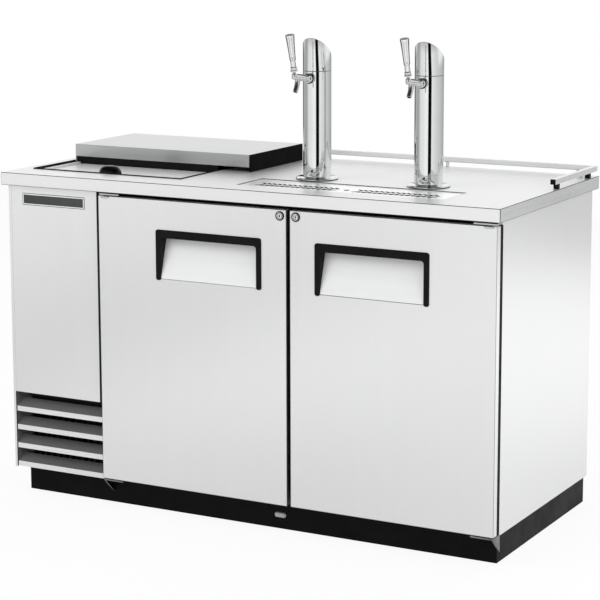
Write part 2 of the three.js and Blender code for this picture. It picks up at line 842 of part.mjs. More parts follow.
// Lever: ball, stem, two-step collar and the stud that the handle screws on.
function tapLever() {
  const profile = [[0, -leverBall]];
  for (let i = -4; i <= 2; i += 1) {
    const turn = Math.PI / 2 * i / 5;
    profile.push([leverBall * Math.cos(turn), leverBall * Math.sin(turn)]);
  }
  const groove = ringLow + ringHeight;
  profile.push(
    [stemRadius, leverBall], [stemRadius, ringLow], [ringRadius, ringLow], [ringRadius, groove],
    [grooveRadius, groove], [grooveRadius, groove + grooveHeight], [collarRadius, groove + grooveHeight],
    [collarRadius, leverShoulder], [studRadius, leverShoulder], [studRadius, leverShoulder + studLength],
    [0, leverShoulder + studLength]);
  return turned(profile, rodSides);
}

function tapHandle() {
  const low = leverShoulder + seatGap;
  const bore = studRadius + seatGap;
  const boreTop = leverShoulder + studLength + seatGap;
  const waist = low + ferruleLength;
  const top = waist + handleLength;
  return turned([
    [0, boreTop], [bore, boreTop], [bore, low], [handleFoot, low], [handleWaist, waist],
    [handleLow, waist], [handleTopRadius, top - handleEdge], [handleTopRadius - handleEdge, top], [0, top],
  ], rodSides);
}

// Line from the shank's tail round a bend and straight down, with a keg coupler nut at its end.
function beerTube() {
  const start = -shankTail + seatGap;
  const points = [
    [0, start, shankHeight], [0, start + beerTubeRadius, shankHeight],
    [0, 0, shankHeight - beerTubeBend / 2], [0, 0, shankHeight - beerTubeBend],
  ];
  const bend = bar(points, beerTubeRadius, smallSides, beerTubeSteps);
  const end = -beerTubeDrop;
  const straight = rodAlongZ(beerTubeRadius, [end, shankHeight - beerTubeBend + overrun], 0, 0, smallSides);
  const coupler = rodAlongZ(couplerRadius, [end - couplerLength, end], 0, 0, nutSides);
  return join(bend, straight, coupler);
}

function tapColumn(side, x) {
  const group = new THREE.Group();
  group.position.set(x, columnY, worktopTop);
  group.add(
    piece(`column_${side}`, column(), polishedSteel),
    piece(`column_cap_${side}`, columnCap(), polishedSteel),
    piece(`shank_${side}`, shank(), polishedSteel),
    piece(`faucet_${side}`, faucet(), polishedSteel),
    piece(`beer_tube_${side}`, beerTube(), brushedSteel),
  );
  const lever = new THREE.Group();
  lever.position.set(0, -leverForward, leverHeight);
  lever.rotation.x = THREE.MathUtils.degToRad(leverTilt);
  lever.add(
    piece(`tap_lever_${side}`, tapLever(), polishedSteel),
    piece(`tap_handle_${side}`, tapHandle(), clearPlastic),
  );
  group.add(lever);
  return group;
}

// Machine compartment

function frontPanel() {
  const corners = [
    [grilleLeft, machinePanelFront], [panelRight, machinePanelFront],
    [panelRight, carcassFront - seatGap], [panelRight - sheet, carcassFront - seatGap],
    [panelRight - sheet, machinePanelFront + sheet], [grilleLeft, machinePanelFront + sheet],
  ];
  return prismAlongZ(corners, [grilleTop + frontGap, carcassTop]);
}

// Four lips with blades that rise to the rear, held between two end plates.
function louvreGrille() {
  const x = [grilleLeft, panelRight];
  const front = machinePanelFront;
  const blades = [];
  for (let i = 0; i < louvreCount; i += 1) {
    const low = grilleBottom + i * louvrePitch;
    const top = low + louvreLip;
    blades.push(prismAlongX([
      [front, low], [front + louvreSheet, low], [front + louvreSheet, top - louvreSheet],
      [front + louvreRun, top + louvreRise - louvreSheet], [front + louvreRun, top + louvreRise], [front, top],
    ], x));
  }
  const y = [front + louvreSheet / 2, front + grilleDepth];
  const z = [grilleBottom, grilleTop];
  const leftEnd = block([x[0], x[0] + sheet], y, z);
  const rightEnd = block([x[1] - sheet, x[1]], y, z);
  return join(leftEnd, rightEnd, ...blades);
}

function condenserCoil() {
  const y = [coilFront, coilFront + coilDepth];
  const low = machineTrayTop + seatGap;
  const core = block([coilLeft, coilLeft + coilWidth], y, [low, low + coilHeight]);
  const slots = [];
  for (let i = 0; i < finCount; i += 1) {
    const middle = coilLeft + coilWidth * (i + 0.5) / finCount;
    slots.push(block(around([middle, middle], finSlot / 2), [coilFront - overrun, coilFront + finSlotDepth],
      [low + finSlot, low + coilHeight - finSlot]));
  }
  return cut(core, ...slots);
}

function fanPlace() {
  const y = coilFront + coilDepth + fanGap;
  return { x: coilLeft + coilWidth / 2, y, z: fanCentreHeight };
}

// Shroud plate with its round opening and the motor behind it on four struts.
function condenserFanHousing() {
  const fan = fanPlace();
  const plateY = [fan.y, fan.y + shroudThickness];
  const motorY = [fan.y + motorSetback, fan.y + motorSetback + motorLength];
  const plate = cut(
    block([coilLeft, coilLeft + coilWidth], plateY, [machineTrayTop + seatGap, fan.z + coilWidth / 2]),
    rodAlongY(shroudHole, around(plateY, overrun), fan.x, fan.z, columnSides));
  const reach = shroudHole + strutWidth;
  const struts = [];
  for (const side of [-1, 1]) {
    const x = fan.x + side * (reach - strutWidth / 2);
    struts.push(block(around([x, x], strutWidth / 2), [fan.y, motorY[1]], around([fan.z, fan.z], strutWidth / 2)));
  }
  const back = [motorY[1] - shroudThickness, motorY[1]];
  const bridge = block([fan.x - reach, fan.x + reach], back, around([fan.z, fan.z], strutWidth / 2));
  const motor = rodAlongY(motorRadius, motorY, fan.x, fan.z);
  const shaft = rodAlongY(shaftRadius, [motorY[0] - hubLength, motorY[0]], fan.x, fan.z, smallSides);
  return join(plate, ...struts, bridge, motor, shaft);
}

// Hub and pitched blades round the Z axis, bored for the shaft.
function fanRotor(hub, length, count, bladeLength, bladeWidth) {
  const middle = length / 2;
  const blades = [];
  for (let i = 0; i < count; i += 1) {
    const blade = new THREE.BoxGeometry(bladeLength + hub / 2, bladeWidth, bladeThickness);
    blade.rotateX(THREE.MathUtils.degToRad(bladePitch));
    blade.translate(hub * 3 / 4 + bladeLength / 2, 0, middle);
    blades.push(blade.rotateZ(2 * Math.PI * i / count));
  }
  const bore = rodAlongZ(shaftRadius + seatGap, [-overrun, length + overrun], 0, 0, smallSides);
  return cut(join(rodAlongZ(hub, [0, length], 0, 0), ...blades), bore);
}

function condenserFan() {
  const fan = fanPlace();
  const rotor = piece('condenser_fan_blade',
    fanRotor(hubRadius, hubLength, condenserBlades, condenserBladeLength, condenserBladeWidth), galvanised);
  rotor.rotation.x = -Math.PI / 2;
  rotor.position.set(fan.x, fan.y + motorSetback - hubLength - seatGap, fan.z);
  return rotor;
}

// Domed hermetic shell on a foot plate with four round feet.
function compressor() {
  const low = machineTrayTop + seatGap;
  const plateLow = low + compressorFootHeight;
  const shellTop = plateLow + compressorHeight;
  const profile = [[0, plateLow], [compressorRadius, plateLow], [compressorRadius, shellTop - compressorDome]];
  for (let i = 1; i < 5; i += 1) {
    const turn = Math.PI / 2 * i / 5;
    profile.push([compressorRadius * Math.cos(turn), shellTop - compressorDome * (1 - Math.sin(turn))]);
  }
  profile.push([0, shellTop]);
  const shell = turned(profile, rodSides).translate(compressorX, compressorY, 0);
  const half = compressorFootSpan / 2;
  const plate = block(around([compressorX, compressorX], half), around([compressorY, compressorY], half),
    [plateLow, plateLow + compressorPlate]);
  const inset = half - compressorFootRadius;
  const feet = [];
  for (const sx of [-1, 1]) {
    for (const sy of [-1, 1]) {
      feet.push(rodAlongZ(compressorFootRadius, [low, plateLow + compressorPlate / 2],
        compressorX + sx * inset, compressorY + sy * inset, smallSides));
    }
  }
  return join(shell, plate, ...feet);
}

function powerInlet() {
  const face = carcassBack + seatGap;
  const flange = rodAlongY(inletFlange, [face, face + inletFlangeThickness], inletX, inletZ);
  const neck = rodAlongY(inletRadius, [face - inletDepth, face + inletFlangeThickness / 2], inletX, inletZ, smallSides);
  return join(flange, neck);
}

// Evaporator on the partition wall

const evaporatorLeft = partitionRight + seatGap;
const evaporatorFanY = evaporatorFront + evaporatorWidth / 2;
const evaporatorFanZ = evaporatorBottom + evaporatorHeight / 2;

// Box open at the bottom, with a round opening for the fan and the motor on its rear wall.
function evaporatorHousing() {
  const x = [evaporatorLeft, evaporatorLeft + evaporatorDepth];
  const y = [evaporatorFront, evaporatorFront + evaporatorWidth];
  const z = [evaporatorBottom, evaporatorBottom + evaporatorHeight];
  const inside = block(around(x, -evaporatorWall), around(y, -evaporatorWall), [z[0] - overrun, z[1] - evaporatorWall]);
  const mouth = rodAlongX(evaporatorHole, [x[1] - evaporatorWall - overrun, x[1] + overrun],
    evaporatorFanY, evaporatorFanZ, columnSides);
  const motorEnd = x[0] + evaporatorMotorLength;
  const motor = rodAlongX(evaporatorMotorRadius, [x[0], motorEnd], evaporatorFanY, evaporatorFanZ);
  const shaft = rodAlongX(shaftRadius, [x[0], motorEnd + evaporatorShaft], evaporatorFanY, evaporatorFanZ, smallSides);
  const pin = rodAlongY(thermostatPin, [y[0] - thermostatDepth / 2, y[0] + evaporatorWall],
    (x[0] + x[1]) / 2, z[0] + thermostatRise, smallSides);
  return join(cut(block(x, y, z), inside, mouth), motor, shaft, pin);
}

function evaporatorFan() {
  const rotor = piece('evaporator_fan_blade',
    fanRotor(evaporatorHub, evaporatorHubLength, evaporatorBlades, evaporatorBladeLength, evaporatorBladeWidth),
    whiteLiner);
  rotor.rotation.y = Math.PI / 2;
  const clear = evaporatorShaft - evaporatorHubLength;
  rotor.position.set(evaporatorLeft + evaporatorMotorLength + clear, evaporatorFanY, evaporatorFanZ);
  return rotor;
}

// Round knob on the thermostat's pin, with a groove as its pointer.
function thermostatKnob() {
  const x = evaporatorLeft + evaporatorDepth / 2;
  const z = evaporatorBottom + thermostatRise;
  const face = evaporatorFront - seatGap;
  const knob = rodAlongY(knobRadius, [face - thermostatDepth, face], x, z);
  const bore = rodAlongY(thermostatPin + seatGap, [face - thermostatDepth / 2, face + overrun], x, z, smallSides);
  const mark = block(around([x, x], thermostatMark / 2),
    [face - thermostatDepth - overrun, face - thermostatDepth + thermostatMark], [z, z + knobRadius + overrun]);
  return cut(knob, bore, mark);
}

// Doors, in the frame of a door whose hinge axis is the group's Z axis. "toward" is 1 where the free
// edge lies to the right of the hinge and -1 where it lies to the left.

function fromHinge(door, distance) {
  return door.toward * (distance - pivotInset);
}

const doorFace = -pivotInset;
const doorRear = doorFace + doorThickness;

function bezelMiddle(door) {
  return fromHinge(door, (door.width - bezelWidth) * bezelHingeShare + bezelWidth / 2);
}

function doorShell(door) {
  const slab = block([fromHinge(door, 0), fromHinge(door, door.width)], [doorFace, doorRear],
    [doorBottom, doorTop]);
  const middle = bezelMiddle(door);
  const half = bezelWidth / 2 - bezelLeg + pocketWall + seatGap;
  const pocket = block(around([middle, middle], half),
    [doorFace - overrun, doorFace + pocketDepth + pocketWall + seatGap],
    [pocketLow - pocketWall - seatGap, pocketTop + pocketWall + seatGap]);
  const pinHole = pinRadius + seatGap;
  const lowPin = rodAlongZ(pinHole, [doorBottom - overrun, doorBottom + pinDepth + overrun], 0, 0, smallSides);
  const topPin = rodAlongZ(pinHole, [doorTop - pinDepth - overrun, doorTop + overrun], 0, 0, smallSides);
  const lockHole = rodAlongY(lockBarrelRadius + seatGap,
    [doorFace - overrun, doorFace + lockBarrelDepth + overrun], lockX(door), doorTop - lockTopDrop);
  return cut(slab, pocket, lowPin, topPin, lockHole);
}

function lockX(door) {
  return fromHinge(door, door.width - lockFromFreeEdge);
}

function doorGasket(door) {
  const x = [fromHinge(door, gasketInset), fromHinge(door, door.width - gasketInset)].sort((a, b) => a - b);
  const z = [doorBottom + gasketInset, doorTop - gasketInset];
  const rear = doorRear + carcassFront - doorPlane - doorThickness;
  const y = [doorRear + seatGap, rear - seatGap];
  return cut(block(x, y, z), block(around(x, -gasketWidth), around(y, overrun), around(z, -gasketWidth)));
}

// Outline of the raised handle frame: a band with two legs and rounded outer corners.
function bezelOutline() {
  const half = bezelWidth / 2;
  const inner = half - bezelLeg;
  const r = bezelCorner;
  const shape = new THREE.Shape();
  shape.moveTo(-half, bezelLow);
  shape.lineTo(-half, bezelTop - r);
  shape.absarc(-half + r, bezelTop - r, r, Math.PI, Math.PI / 2, true);
  shape.lineTo(half - r, bezelTop);
  shape.absarc(half - r, bezelTop - r, r, Math.PI / 2, 0, true);
  shape.lineTo(half, bezelLow);
  shape.lineTo(inner, bezelLow);
  shape.lineTo(inner, pocketTop);
  shape.lineTo(-inner, pocketTop);
  shape.lineTo(-inner, bezelLow);
  return shape;
}

function pocketSlope(share, offset) {
  const rise = pocketTop - pocketLow;
  const length = Math.hypot(rise, pocketDepth);
  const y = doorFace + pocketDepth * share - offset * rise / length;
  return [y, pocketLow + rise * share + offset * pocketDepth / length];
}

// Black handle insert: the raised frame and, behind it, a pocket that deepens towards its top.
function doorHandle(door) {
  const middle = bezelMiddle(door);
  const frame = new THREE.ExtrudeGeometry(bezelOutline(),
    { depth: bezelProud, bevelEnabled: false, curveSegments: cornerSteps });
  frame.rotateX(Math.PI / 2).translate(middle, doorFace - seatGap, 0);
  const half = bezelWidth / 2 - bezelLeg;
  const insert = block(around([middle, middle], half + pocketWall),
    [doorFace - seatGap - bezelProud / 2, doorFace + pocketDepth + pocketWall],
    [pocketLow - pocketWall, pocketTop + pocketWall]);
  const front = doorFace - overrun - bezelProud;
  const cavity = prismAlongX([
    [front, pocketLow], pocketSlope(0, 0), pocketSlope(1, 0), [front, pocketTop],
  ], around([middle, middle], half));
  return cut(join(frame, insert), cavity);
}

function handlePlate(door) {
  const middle = bezelMiddle(door);
  const half = bezelWidth / 2 - bezelLeg - seatGap;
  const [low, high] = [pocketPlateStartShare, pocketPlateEndShare];
  return prismAlongX([
    pocketSlope(low, seatGap), pocketSlope(high, seatGap),
    pocketSlope(high, seatGap + pocketPlate), pocketSlope(low, seatGap + pocketPlate),
  ], around([middle, middle], half));
}

// Key lock: a round head on the door's face, a barrel in the door and a keyway.
function doorLock() {
  const head = rodAlongY(lockHeadRadius, [-seatGap - lockHeadProud, -seatGap], 0, 0);
  const barrel = rodAlongY(lockBarrelRadius, [-seatGap - lockHeadProud / 2, lockBarrelDepth], 0, 0);
  const front = -seatGap - lockHeadProud;
  const slot = block(around([0, 0], keyway / 2), [front - overrun, front + keywayDepth],
    around([0, 0], keywayHeight / 2));
  return cut(join(head, barrel), slot);
}

function doorGroup(door) {
  const group = new THREE.Group();
  group.position.set(door.pivotX, doorPlane + pivotInset, 0);
  group.add(
    piece(`${door.side}_door_shell`, doorShell(door), brushedSteel),
    piece(`${door.side}_door_gasket`, doorGasket(door), blackRubber),
    piece(`${door.side}_door_handle`, doorHandle(door), blackPlastic),
    piece(`${door.side}_handle_plate`, handlePlate(door), brushedSteel),
  );
  const lock = piece(`${door.side}_door_lock`, doorLock(), polishedSteel);
  lock.position.set(lockX(door), doorFace, doorTop - lockTopDrop);
  group.add(lock);
  group.add(
    piece(`hinge_upper_${door.side}`, upperBracket(door), polishedSteel),
    piece(`hinge_lower_${door.side}`, lowerBracket(door), polishedSteel),
  );
  return group;
}

// Hinge brackets, fixed to the carcass, in the frame of their door's hinge axis

function bracketX(door) {
  return [-door.toward * bracketFromPivot, door.toward * (bracketLength - bracketFromPivot)];
}

function upperBracket(door) {
  const low = doorTop + bracketDoorGap;
  const rear = carcassFront - headStripDepth - seatGap - (doorPlane + pivotInset);
  const plate = block(bracketX(door), [doorFace + overrun, rear], [low, low + bracketThickness]);
  const pin = rodAlongZ(pinRadius, [doorTop - pinDepth, low + bracketThickness / 2], 0, 0, smallSides);
  return join(plate, pin);
}

function lowerBracket(door) {
  const top = doorBottom - bracketDoorGap;
  const low = top - bracketThickness;
  const origin = doorPlane + pivotInset;
  const front = doorFace + overrun;
  const rear = carcassFront - seatGap - origin;
  const plate = block(bracketX(door), [front, rear], [low, top]);
  const edge = -door.toward * bracketFromPivot;
  const gussetX = [edge, edge + door.toward * gussetThickness].sort((a, b) => a - b);
  const gusset = prismAlongX([
    [front, top - bracketThickness / 2], [front, low], [rear, low - gussetHeight], [rear, top - bracketThickness / 2],
  ], gussetX);
  const pin = rodAlongZ(pinRadius, [low + bracketThickness / 2, doorBottom + pinDepth], 0, 0, smallSides);
  return join(plate, gusset, pin);
}

const leftDoor = {
  side: 'left', toward: 1, pivotX: doorLeftEdge + pivotInset,
  width: doorMiddleX - doorMiddleGap / 2 - doorLeftEdge,
};
const rightDoor = {
  side: 'right', toward: -1, pivotX: doorRightEdge - pivotInset,
  width: doorRightEdge - doorMiddleX - doorMiddleGap / 2,
};

// The whole dispenser

const dispenser = new THREE.Group();
dispenser.name = 'draft_beer_dispenser';

dispenser.add(
  piece('plinth', plinth(), blackPaint),
  piece('cabinet_floor', cabinetFloor(), galvanised),
  piece('left_side_panel', leftSidePanel(), brushedSteel),
  piece('machine_rear_panel', machineRearPanel(), galvanised),
  piece('right_side_panel', rightSidePanel(), brushedSteel),
  piece('back_panel', backPanel(), galvanised),
  piece('partition_wall', partitionWall(), whiteLiner),
  piece('cold_room_ceiling', coldRoomCeiling(), blackPlastic),
  piece('door_mullion', doorMullion(), blackPlastic),
  piece('keg_floor_plate', kegFloorPlate(), galvanised),
);

dispenser.add(
  piece('worktop', worktop(), brushedSteel),
  piece('well_collar', wellCollar(), blackPlastic),
  piece('bottle_well', bottleWell(), brushedSteel),
  piece('sliding_lid', slidingLid(), brushedSteel),
  piece('lid_knob', lidKnob(), blackPlastic),
  piece('hood_cover', hoodCover(), brushedSteel),
  piece('hood_end_right', hoodEndRight(), blackPaint),
  piece('hood_wiper', hoodWiper(), blackRubber),
  piece('rear_rail', rearRail(), brushedSteel),
  piece('side_rail', sideRail(), brushedSteel),
  piece('drip_pan', dripPan(), brushedSteel),
  piece('drip_plate', dripPlate(), brushedSteel),
);

dispenser.add(
  piece('front_panel', frontPanel(), brushedSteel),
  piece('louvre_grille', louvreGrille(), brushedSteel),
  piece('condenser_coil', condenserCoil(), finned),
  piece('condenser_fan_housing', condenserFanHousing(), galvanised),
  condenserFan(),
  piece('compressor', compressor(), blackPaint),
  piece('power_inlet', powerInlet(), blackPlastic),
  piece('evaporator_housing', evaporatorHousing(), whiteLiner),
  evaporatorFan(),
  piece('thermostat_knob', thermostatKnob(), blackPlastic),
);

dispenser.add(doorGroup(leftDoor), doorGroup(rightDoor));

columnPlaces().forEach((x, index) => dispenser.add(tapColumn(index === 0 ? 'left' : 'right', x)));

export default dispenser;
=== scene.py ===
"""Looks of the two-door draft beer dispenser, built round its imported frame.

Sizes in the constants are millimetres. Meshes are made in metres, with their place in the mesh.
"""
import json
import math

import bmesh
import bpy
import numpy as np
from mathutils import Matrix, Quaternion, Vector


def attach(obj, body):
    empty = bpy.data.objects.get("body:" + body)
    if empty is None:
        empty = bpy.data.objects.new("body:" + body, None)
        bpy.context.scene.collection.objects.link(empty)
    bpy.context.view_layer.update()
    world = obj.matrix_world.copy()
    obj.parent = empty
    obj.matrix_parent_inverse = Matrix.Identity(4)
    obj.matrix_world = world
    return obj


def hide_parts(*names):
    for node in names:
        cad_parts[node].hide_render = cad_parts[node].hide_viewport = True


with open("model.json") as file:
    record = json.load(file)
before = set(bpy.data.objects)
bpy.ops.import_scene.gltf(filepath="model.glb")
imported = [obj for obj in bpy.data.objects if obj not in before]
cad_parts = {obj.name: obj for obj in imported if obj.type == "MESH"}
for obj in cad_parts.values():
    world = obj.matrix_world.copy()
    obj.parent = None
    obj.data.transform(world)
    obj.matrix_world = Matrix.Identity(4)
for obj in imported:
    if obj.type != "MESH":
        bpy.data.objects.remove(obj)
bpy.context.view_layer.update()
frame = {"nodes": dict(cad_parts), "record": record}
NODES = frame["nodes"]
RECORD = frame["record"]
BODY_OF = {node: body for body, members in RECORD["behaviour"]["bodies"].items() for node in members}

# Camera, in degrees, millimetres and pixels of the 600 x 600 picture
VIEW_AZIMUTH = 28.425
VIEW_ELEVATION = 9.421
VIEW_ROLL = -0.131
VIEW_DISTANCE = 5631.9
VIEW_FOCUS = 2042.0
VIEW_TARGET = (8.16, 0.0, 730.6)
VIEW_SHIFT = -0.1
PICTURE_WIDTH = 600.0
SENSOR = 36.0

# Worktop, columns and taps
TOP = 914.0
PAN_RIM = 912.2
COLUMNS = {"left": 95.0, "right": 425.0}
COLUMN_Y = -62.0
COLUMN_RADIUS = 38.1
COLUMN_WALL = 3.1
SEAM = 292.0
PEAK = 382.0
CAP_SLANT = math.radians(41.0)
FLANGE_RADIUS = 57.0
FLANGE_THICKNESS = 6.0
GROOVE_RISE = 33.0
SCREW_RISE = 26.0
SCREW_TURN = math.radians(7.0)
SHANK_HEIGHT = 273.5
LEVER_FORWARD = 127.5
LEVER_HEIGHT = 293.0
LEVER_TILT = math.radians(13.4)
LEVER_AXIS = np.array([0, -math.sin(LEVER_TILT), math.cos(LEVER_TILT)])
FAUCET_TILT = math.radians(8.0)
SEAT = 0.3

# Lid, its opening and its runners
LID_OPENING = (-708.0, -228.0), (-241.0, -37.5)
RUNNERS_X = (-703.4, -694.0), (-242.0, -232.6)
RUNNERS_Y = (-236.0, 255.0)
KNOB_FOOT = (-475.0, -208.7, 906.3)

# Drip tray, and the slots of its two grids: the middles in y with their lean
TRAY = (-41.5, 561.5), (-263.5, -122.5)
SLOT_GRIDS = (117.0, 403.0)
SLOT_GRID_WIDTH = 232.0
SLOT_COUNT = 15
SLOT_ROWS = (-225.25, 42.0), (-196.75, -42.0)
SLOT_REACH = 9.25

# Rails: the middles of their posts and the limits of the square bar
RAIL_POSTS = [(739.0, 50.0), (739.0, 279.0), (-95.0, 335.5), (695.0, 335.5)]
SLEEVE_HALF = 6.8
RAIL_Z = (928.05, 941.95)
SIDE_RAIL_X, SIDE_RAIL_FRONT = (732.05, 745.95), 25.0
REAR_RAIL_Y, REAR_RAIL_LEFT = (328.55, 342.45), -128.0

# Machine compartment's front: the panel's face, its nameplate, and in x and z two black strips that are painted
# shade for the dark gaps at the panel's edges
PANEL_FACE = 330.0
NAMEPLATE = (-684.0, -481.0), (827.0, 857.0)
PANEL_SHADE_GAPS = ((-725.2, -721.6), (75.0, 290.6)), ((-440.5, -430.6), (291.0, 878.6))

# Rear panels and machinery
REAR_FACE = 335.0
INLET = (-600.0, 335.3, 150.0)
COMPRESSOR = (-575.0, 60.0)
EVAPORATOR_FAN = (-299.4, 40.0, 561.0)
THERMOSTAT = (-338.7, -120.3, 490.0)

# Doors, seen from the front
DOORS = {
    "left": {"x": (-427.0, 152.3), "handle": -82.96, "lock": 134.0, "hinge": -419.0, "toward": 1},
    "right": {"x": (162.3, 739.4), "handle": 396.93, "lock": 180.6, "hinge": 731.4, "toward": -1},
}
DOOR_FACE = -341.5
DOOR_REAR = -304.0
DOOR_Z = (81.0, 869.0)
CARCASS_FRONT = -294.0
BEZEL_HALF = 161.25
BEZEL_LEG = 15.0
BEZEL_Z = (653.5, 790.5)
POCKET_Z = (661.5, 768.5)
POCKET_DEPTH = 32.0
LOCK_Z = 853.5
HINGE_Y = -333.5
HINGE_LEAF = 27.0

# A millimetre in metres, and how meshes are merged: distances in metres, angles in degrees
MM = 0.001
MERGE_DISTANCE = 2e-6
SLIVER = 1e-7
FLAT_ANGLE = 0.6
BEVEL_ANGLE = 28.0


# Arrays of points and faces

def sheet_faces(rows, columns, wrap_columns=False, wrap_rows=False):
    """Quads of a grid: corner (i, j), (i+1, j), (i+1, j+1), (i, j+1), wrapping round where asked."""
    i = np.arange(rows if wrap_rows else rows - 1)
    j = np.arange(columns if wrap_columns else columns - 1)
    a, b = np.meshgrid(i, j, indexing="ij")
    c, d = (a + 1) % rows, (b + 1) % columns
    corners = np.stack([a * columns + b, c * columns + b, c * columns + d, a * columns + d], -1)
    return corners.reshape(-1, 4).tolist()


def combined(*parts):
    """Several (points, faces) parts as one, each part's face numbers moved up by the points before it."""
    points, faces, start = [], [], 0
    for corners, polygons in parts:
        points.append(corners)
        faces.extend([[corner + start for corner in polygon] for polygon in polygons])
        start += len(corners)
    return np.vstack(points), faces


def unit(vector):
    """Vector, or rows of vectors, made length 1."""
    vector = np.asarray(vector, float)
    return vector / np.linalg.norm(vector, axis=-1, keepdims=True)


def axes_of(axis, side=(1.0, 0.0, 0.0)):
    """Three unit rows: across, second across, and the axis itself."""
    axis = unit(axis)
    across = unit(np.asarray(side, float) - axis * np.dot(side, axis))
    return np.stack([across, np.cross(axis, across), axis])


def turned(profile, centre, axis=(0, 0, 1), sides=64, side=(1.0, 0.0, 0.0)):
    """Turned piece: for each (radius r, height h) of the profile and each angle a, the point
    centre + r cos(a) across + r sin(a) second across + h axis."""
    r, h = np.asarray(profile, float).T
    angle = np.linspace(0, 2 * np.pi, sides, endpoint=False)
    local = np.stack([np.outer(r, np.cos(angle)), np.outer(r, np.sin(angle)),
                      np.repeat(h[:, None], sides, axis=1)], -1)
    points = local.reshape(-1, 3) @ axes_of(axis, side) + np.asarray(centre, float)
    return points, sheet_faces(len(r), sides, wrap_columns=True)


def tube(path, radius, side, sides=24, closed=False):
    """Round bar along a flat path: at each path point with tangent t, the ring
    p + radius (cos(a) side + sin(a) t x side); open paths end in a point at each end."""
    path = np.asarray(path, float)
    radius = np.broadcast_to(np.asarray(radius, float), (len(path),)).copy()
    if closed:
        tangent = unit(np.roll(path, -1, axis=0) - np.roll(path, 1, axis=0))
    else:
        tangent = unit(np.gradient(path, axis=0))
        path = np.vstack([path[:1], path, path[-1:]])
        tangent = np.vstack([tangent[:1], tangent, tangent[-1:]])
        radius = np.concatenate([[0.0], radius, [0.0]])
    side = unit(side)
    other = np.cross(tangent, side)
    angle = np.linspace(0, 2 * np.pi, sides, endpoint=False)
    ring = np.cos(angle)[None, :, None] * side + np.sin(angle)[None, :, None] * other[:, None, :]
    points = path[:, None, :] + radius[:, None, None] * ring
    return points.reshape(-1, 3), sheet_faces(len(path), sides, wrap_columns=True, wrap_rows=closed)


def traced(corners):
    """Flat outline through sharp corners, as complex numbers."""
    return np.array([complex(u, v) for u, v in corners])


def rounded(corners, radii, steps=6):
    """Flat outline with round corners, as complex numbers: each corner becomes an arc between the two
    points at radius x tan(half the turn) from it along its edges, turned about the arc's centre."""
    corners = traced(corners)
    radii = np.broadcast_to(np.asarray(radii, float), corners.shape)
    before = corners - np.roll(corners, 1)
    after = np.roll(corners, -1) - corners
    before, after = before / abs(before), after / abs(after)
    turn = np.angle(after / before)
    start = corners - before * radii * np.tan(abs(turn) / 2)
    centre = start + 1j * before * radii * np.sign(turn)
    share = np.linspace(0, 1, steps + 1)
    arcs = centre[:, None] + (start - centre)[:, None] * np.exp(1j * turn[:, None] * share)
    return arcs.reshape(-1)


def rectangle(u, v, radius, steps=5):
    """Round-cornered rectangle between two pairs of limits."""
    return rounded([(u[0], v[0]), (u[1], v[0]), (u[1], v[1]), (u[0], v[1])], radius, steps)


def inset(outline, distance):
    """Outline moved inwards: each point goes along the mean of its two edge normals, made longer by the
    corner it turns."""
    before = outline - np.roll(outline, 1)
    after = np.roll(outline, -1) - outline
    before = before / np.maximum(abs(before), 1e-12)
    after = after / np.maximum(abs(after), 1e-12)
    normal = 1j * (before + after)
    length = np.maximum(abs(normal), 1e-6)
    return outline + distance * normal / length * (2 / length).clip(1, 1.6)


PLANES = {
    "front": np.array([[1.0, 0, 0], [0, 0, 1.0], [0, -1.0, 0]]),
    "top": np.array([[1.0, 0, 0], [0, 1.0, 0], [0, 0, 1.0]]),
    "side": np.array([[0, 1.0, 0], [0, 0, 1.0], [1.0, 0, 0]]),
}


def plate(outline, levels, plane):
    """Stack of one outline's insets: level (inset d, height h) is the outline moved in by d, at h along
    the plane's normal; the first and last level are closed with a face."""
    count = len(outline)
    rings = [np.stack([inset(outline, d).real, inset(outline, d).imag, np.full(count, float(h))], -1)
             for d, h in levels]
    points = np.vstack(rings) @ PLANES[plane]
    faces = sheet_faces(len(levels), count, wrap_columns=True)
    faces.append(list(range(count))[::-1])
    faces.append(list(range((len(levels) - 1) * count, len(levels) * count)))
    return points, faces


def soft_levels(low, high, edge, both=True, steps=3):
    """Levels of a plate whose rims are quarter rounds: at t the inset is edge (1 - sin t), and the level
    lies edge (1 - cos t) within the rim's height."""
    t = np.linspace(0, np.pi / 2, steps + 1)
    top = [(edge * (1 - math.sin(a)), high - edge * (1 - math.cos(a))) for a in t[::-1]]
    bottom = [(edge * (1 - math.sin(a)), low + edge * (1 - math.cos(a))) for a in t]
    return (bottom if both else [(0.0, low)]) + top


def pad(u, v, levels, plane, radius, steps=4):
    """Plate on a round-cornered rectangle."""
    return plate(rectangle(u, v, radius, steps), levels, plane)


def framed(profile, u, v, plane):
    """Mitred strip round a rectangle: profile point (d, h) gives the rectangle moved in by d, at h; the
    profile is closed, so the strip has no ends."""
    rows = [[(u[0] + d, v[0] + d, h), (u[1] - d, v[0] + d, h), (u[1] - d, v[1] - d, h), (u[0] + d, v[1] - d, h)]
            for d, h in profile]
    points = np.array(rows, float).reshape(-1, 3) @ PLANES[plane]
    return points, sheet_faces(len(rows), 4, wrap_columns=True, wrap_rows=True)


def hoop(profile, centre, axis=(0, 0, 1), sides=64):
    """Turned ring whose profile closes on its first point."""
    return turned([*profile, profile[0]], centre, axis, sides)


def domes(centres, radius, height, axis, sides=12):
    """Small round heads: radii r = radius cos(t), rise height sin(t), at each centre along the axis."""
    t = np.radians([0, 35, 62, 90])
    profile = np.stack([radius * np.cos(t), height * np.sin(t)], -1)
    parts = [turned(np.vstack([[radius, -0.2], profile]), centre, axis, sides) for centre in centres]
    return combined(*parts)


# Blender objects

def new_object(name, data):
    """Object in the scene."""
    thing = bpy.data.objects.new(name, data)
    bpy.context.scene.collection.objects.link(thing)
    return thing


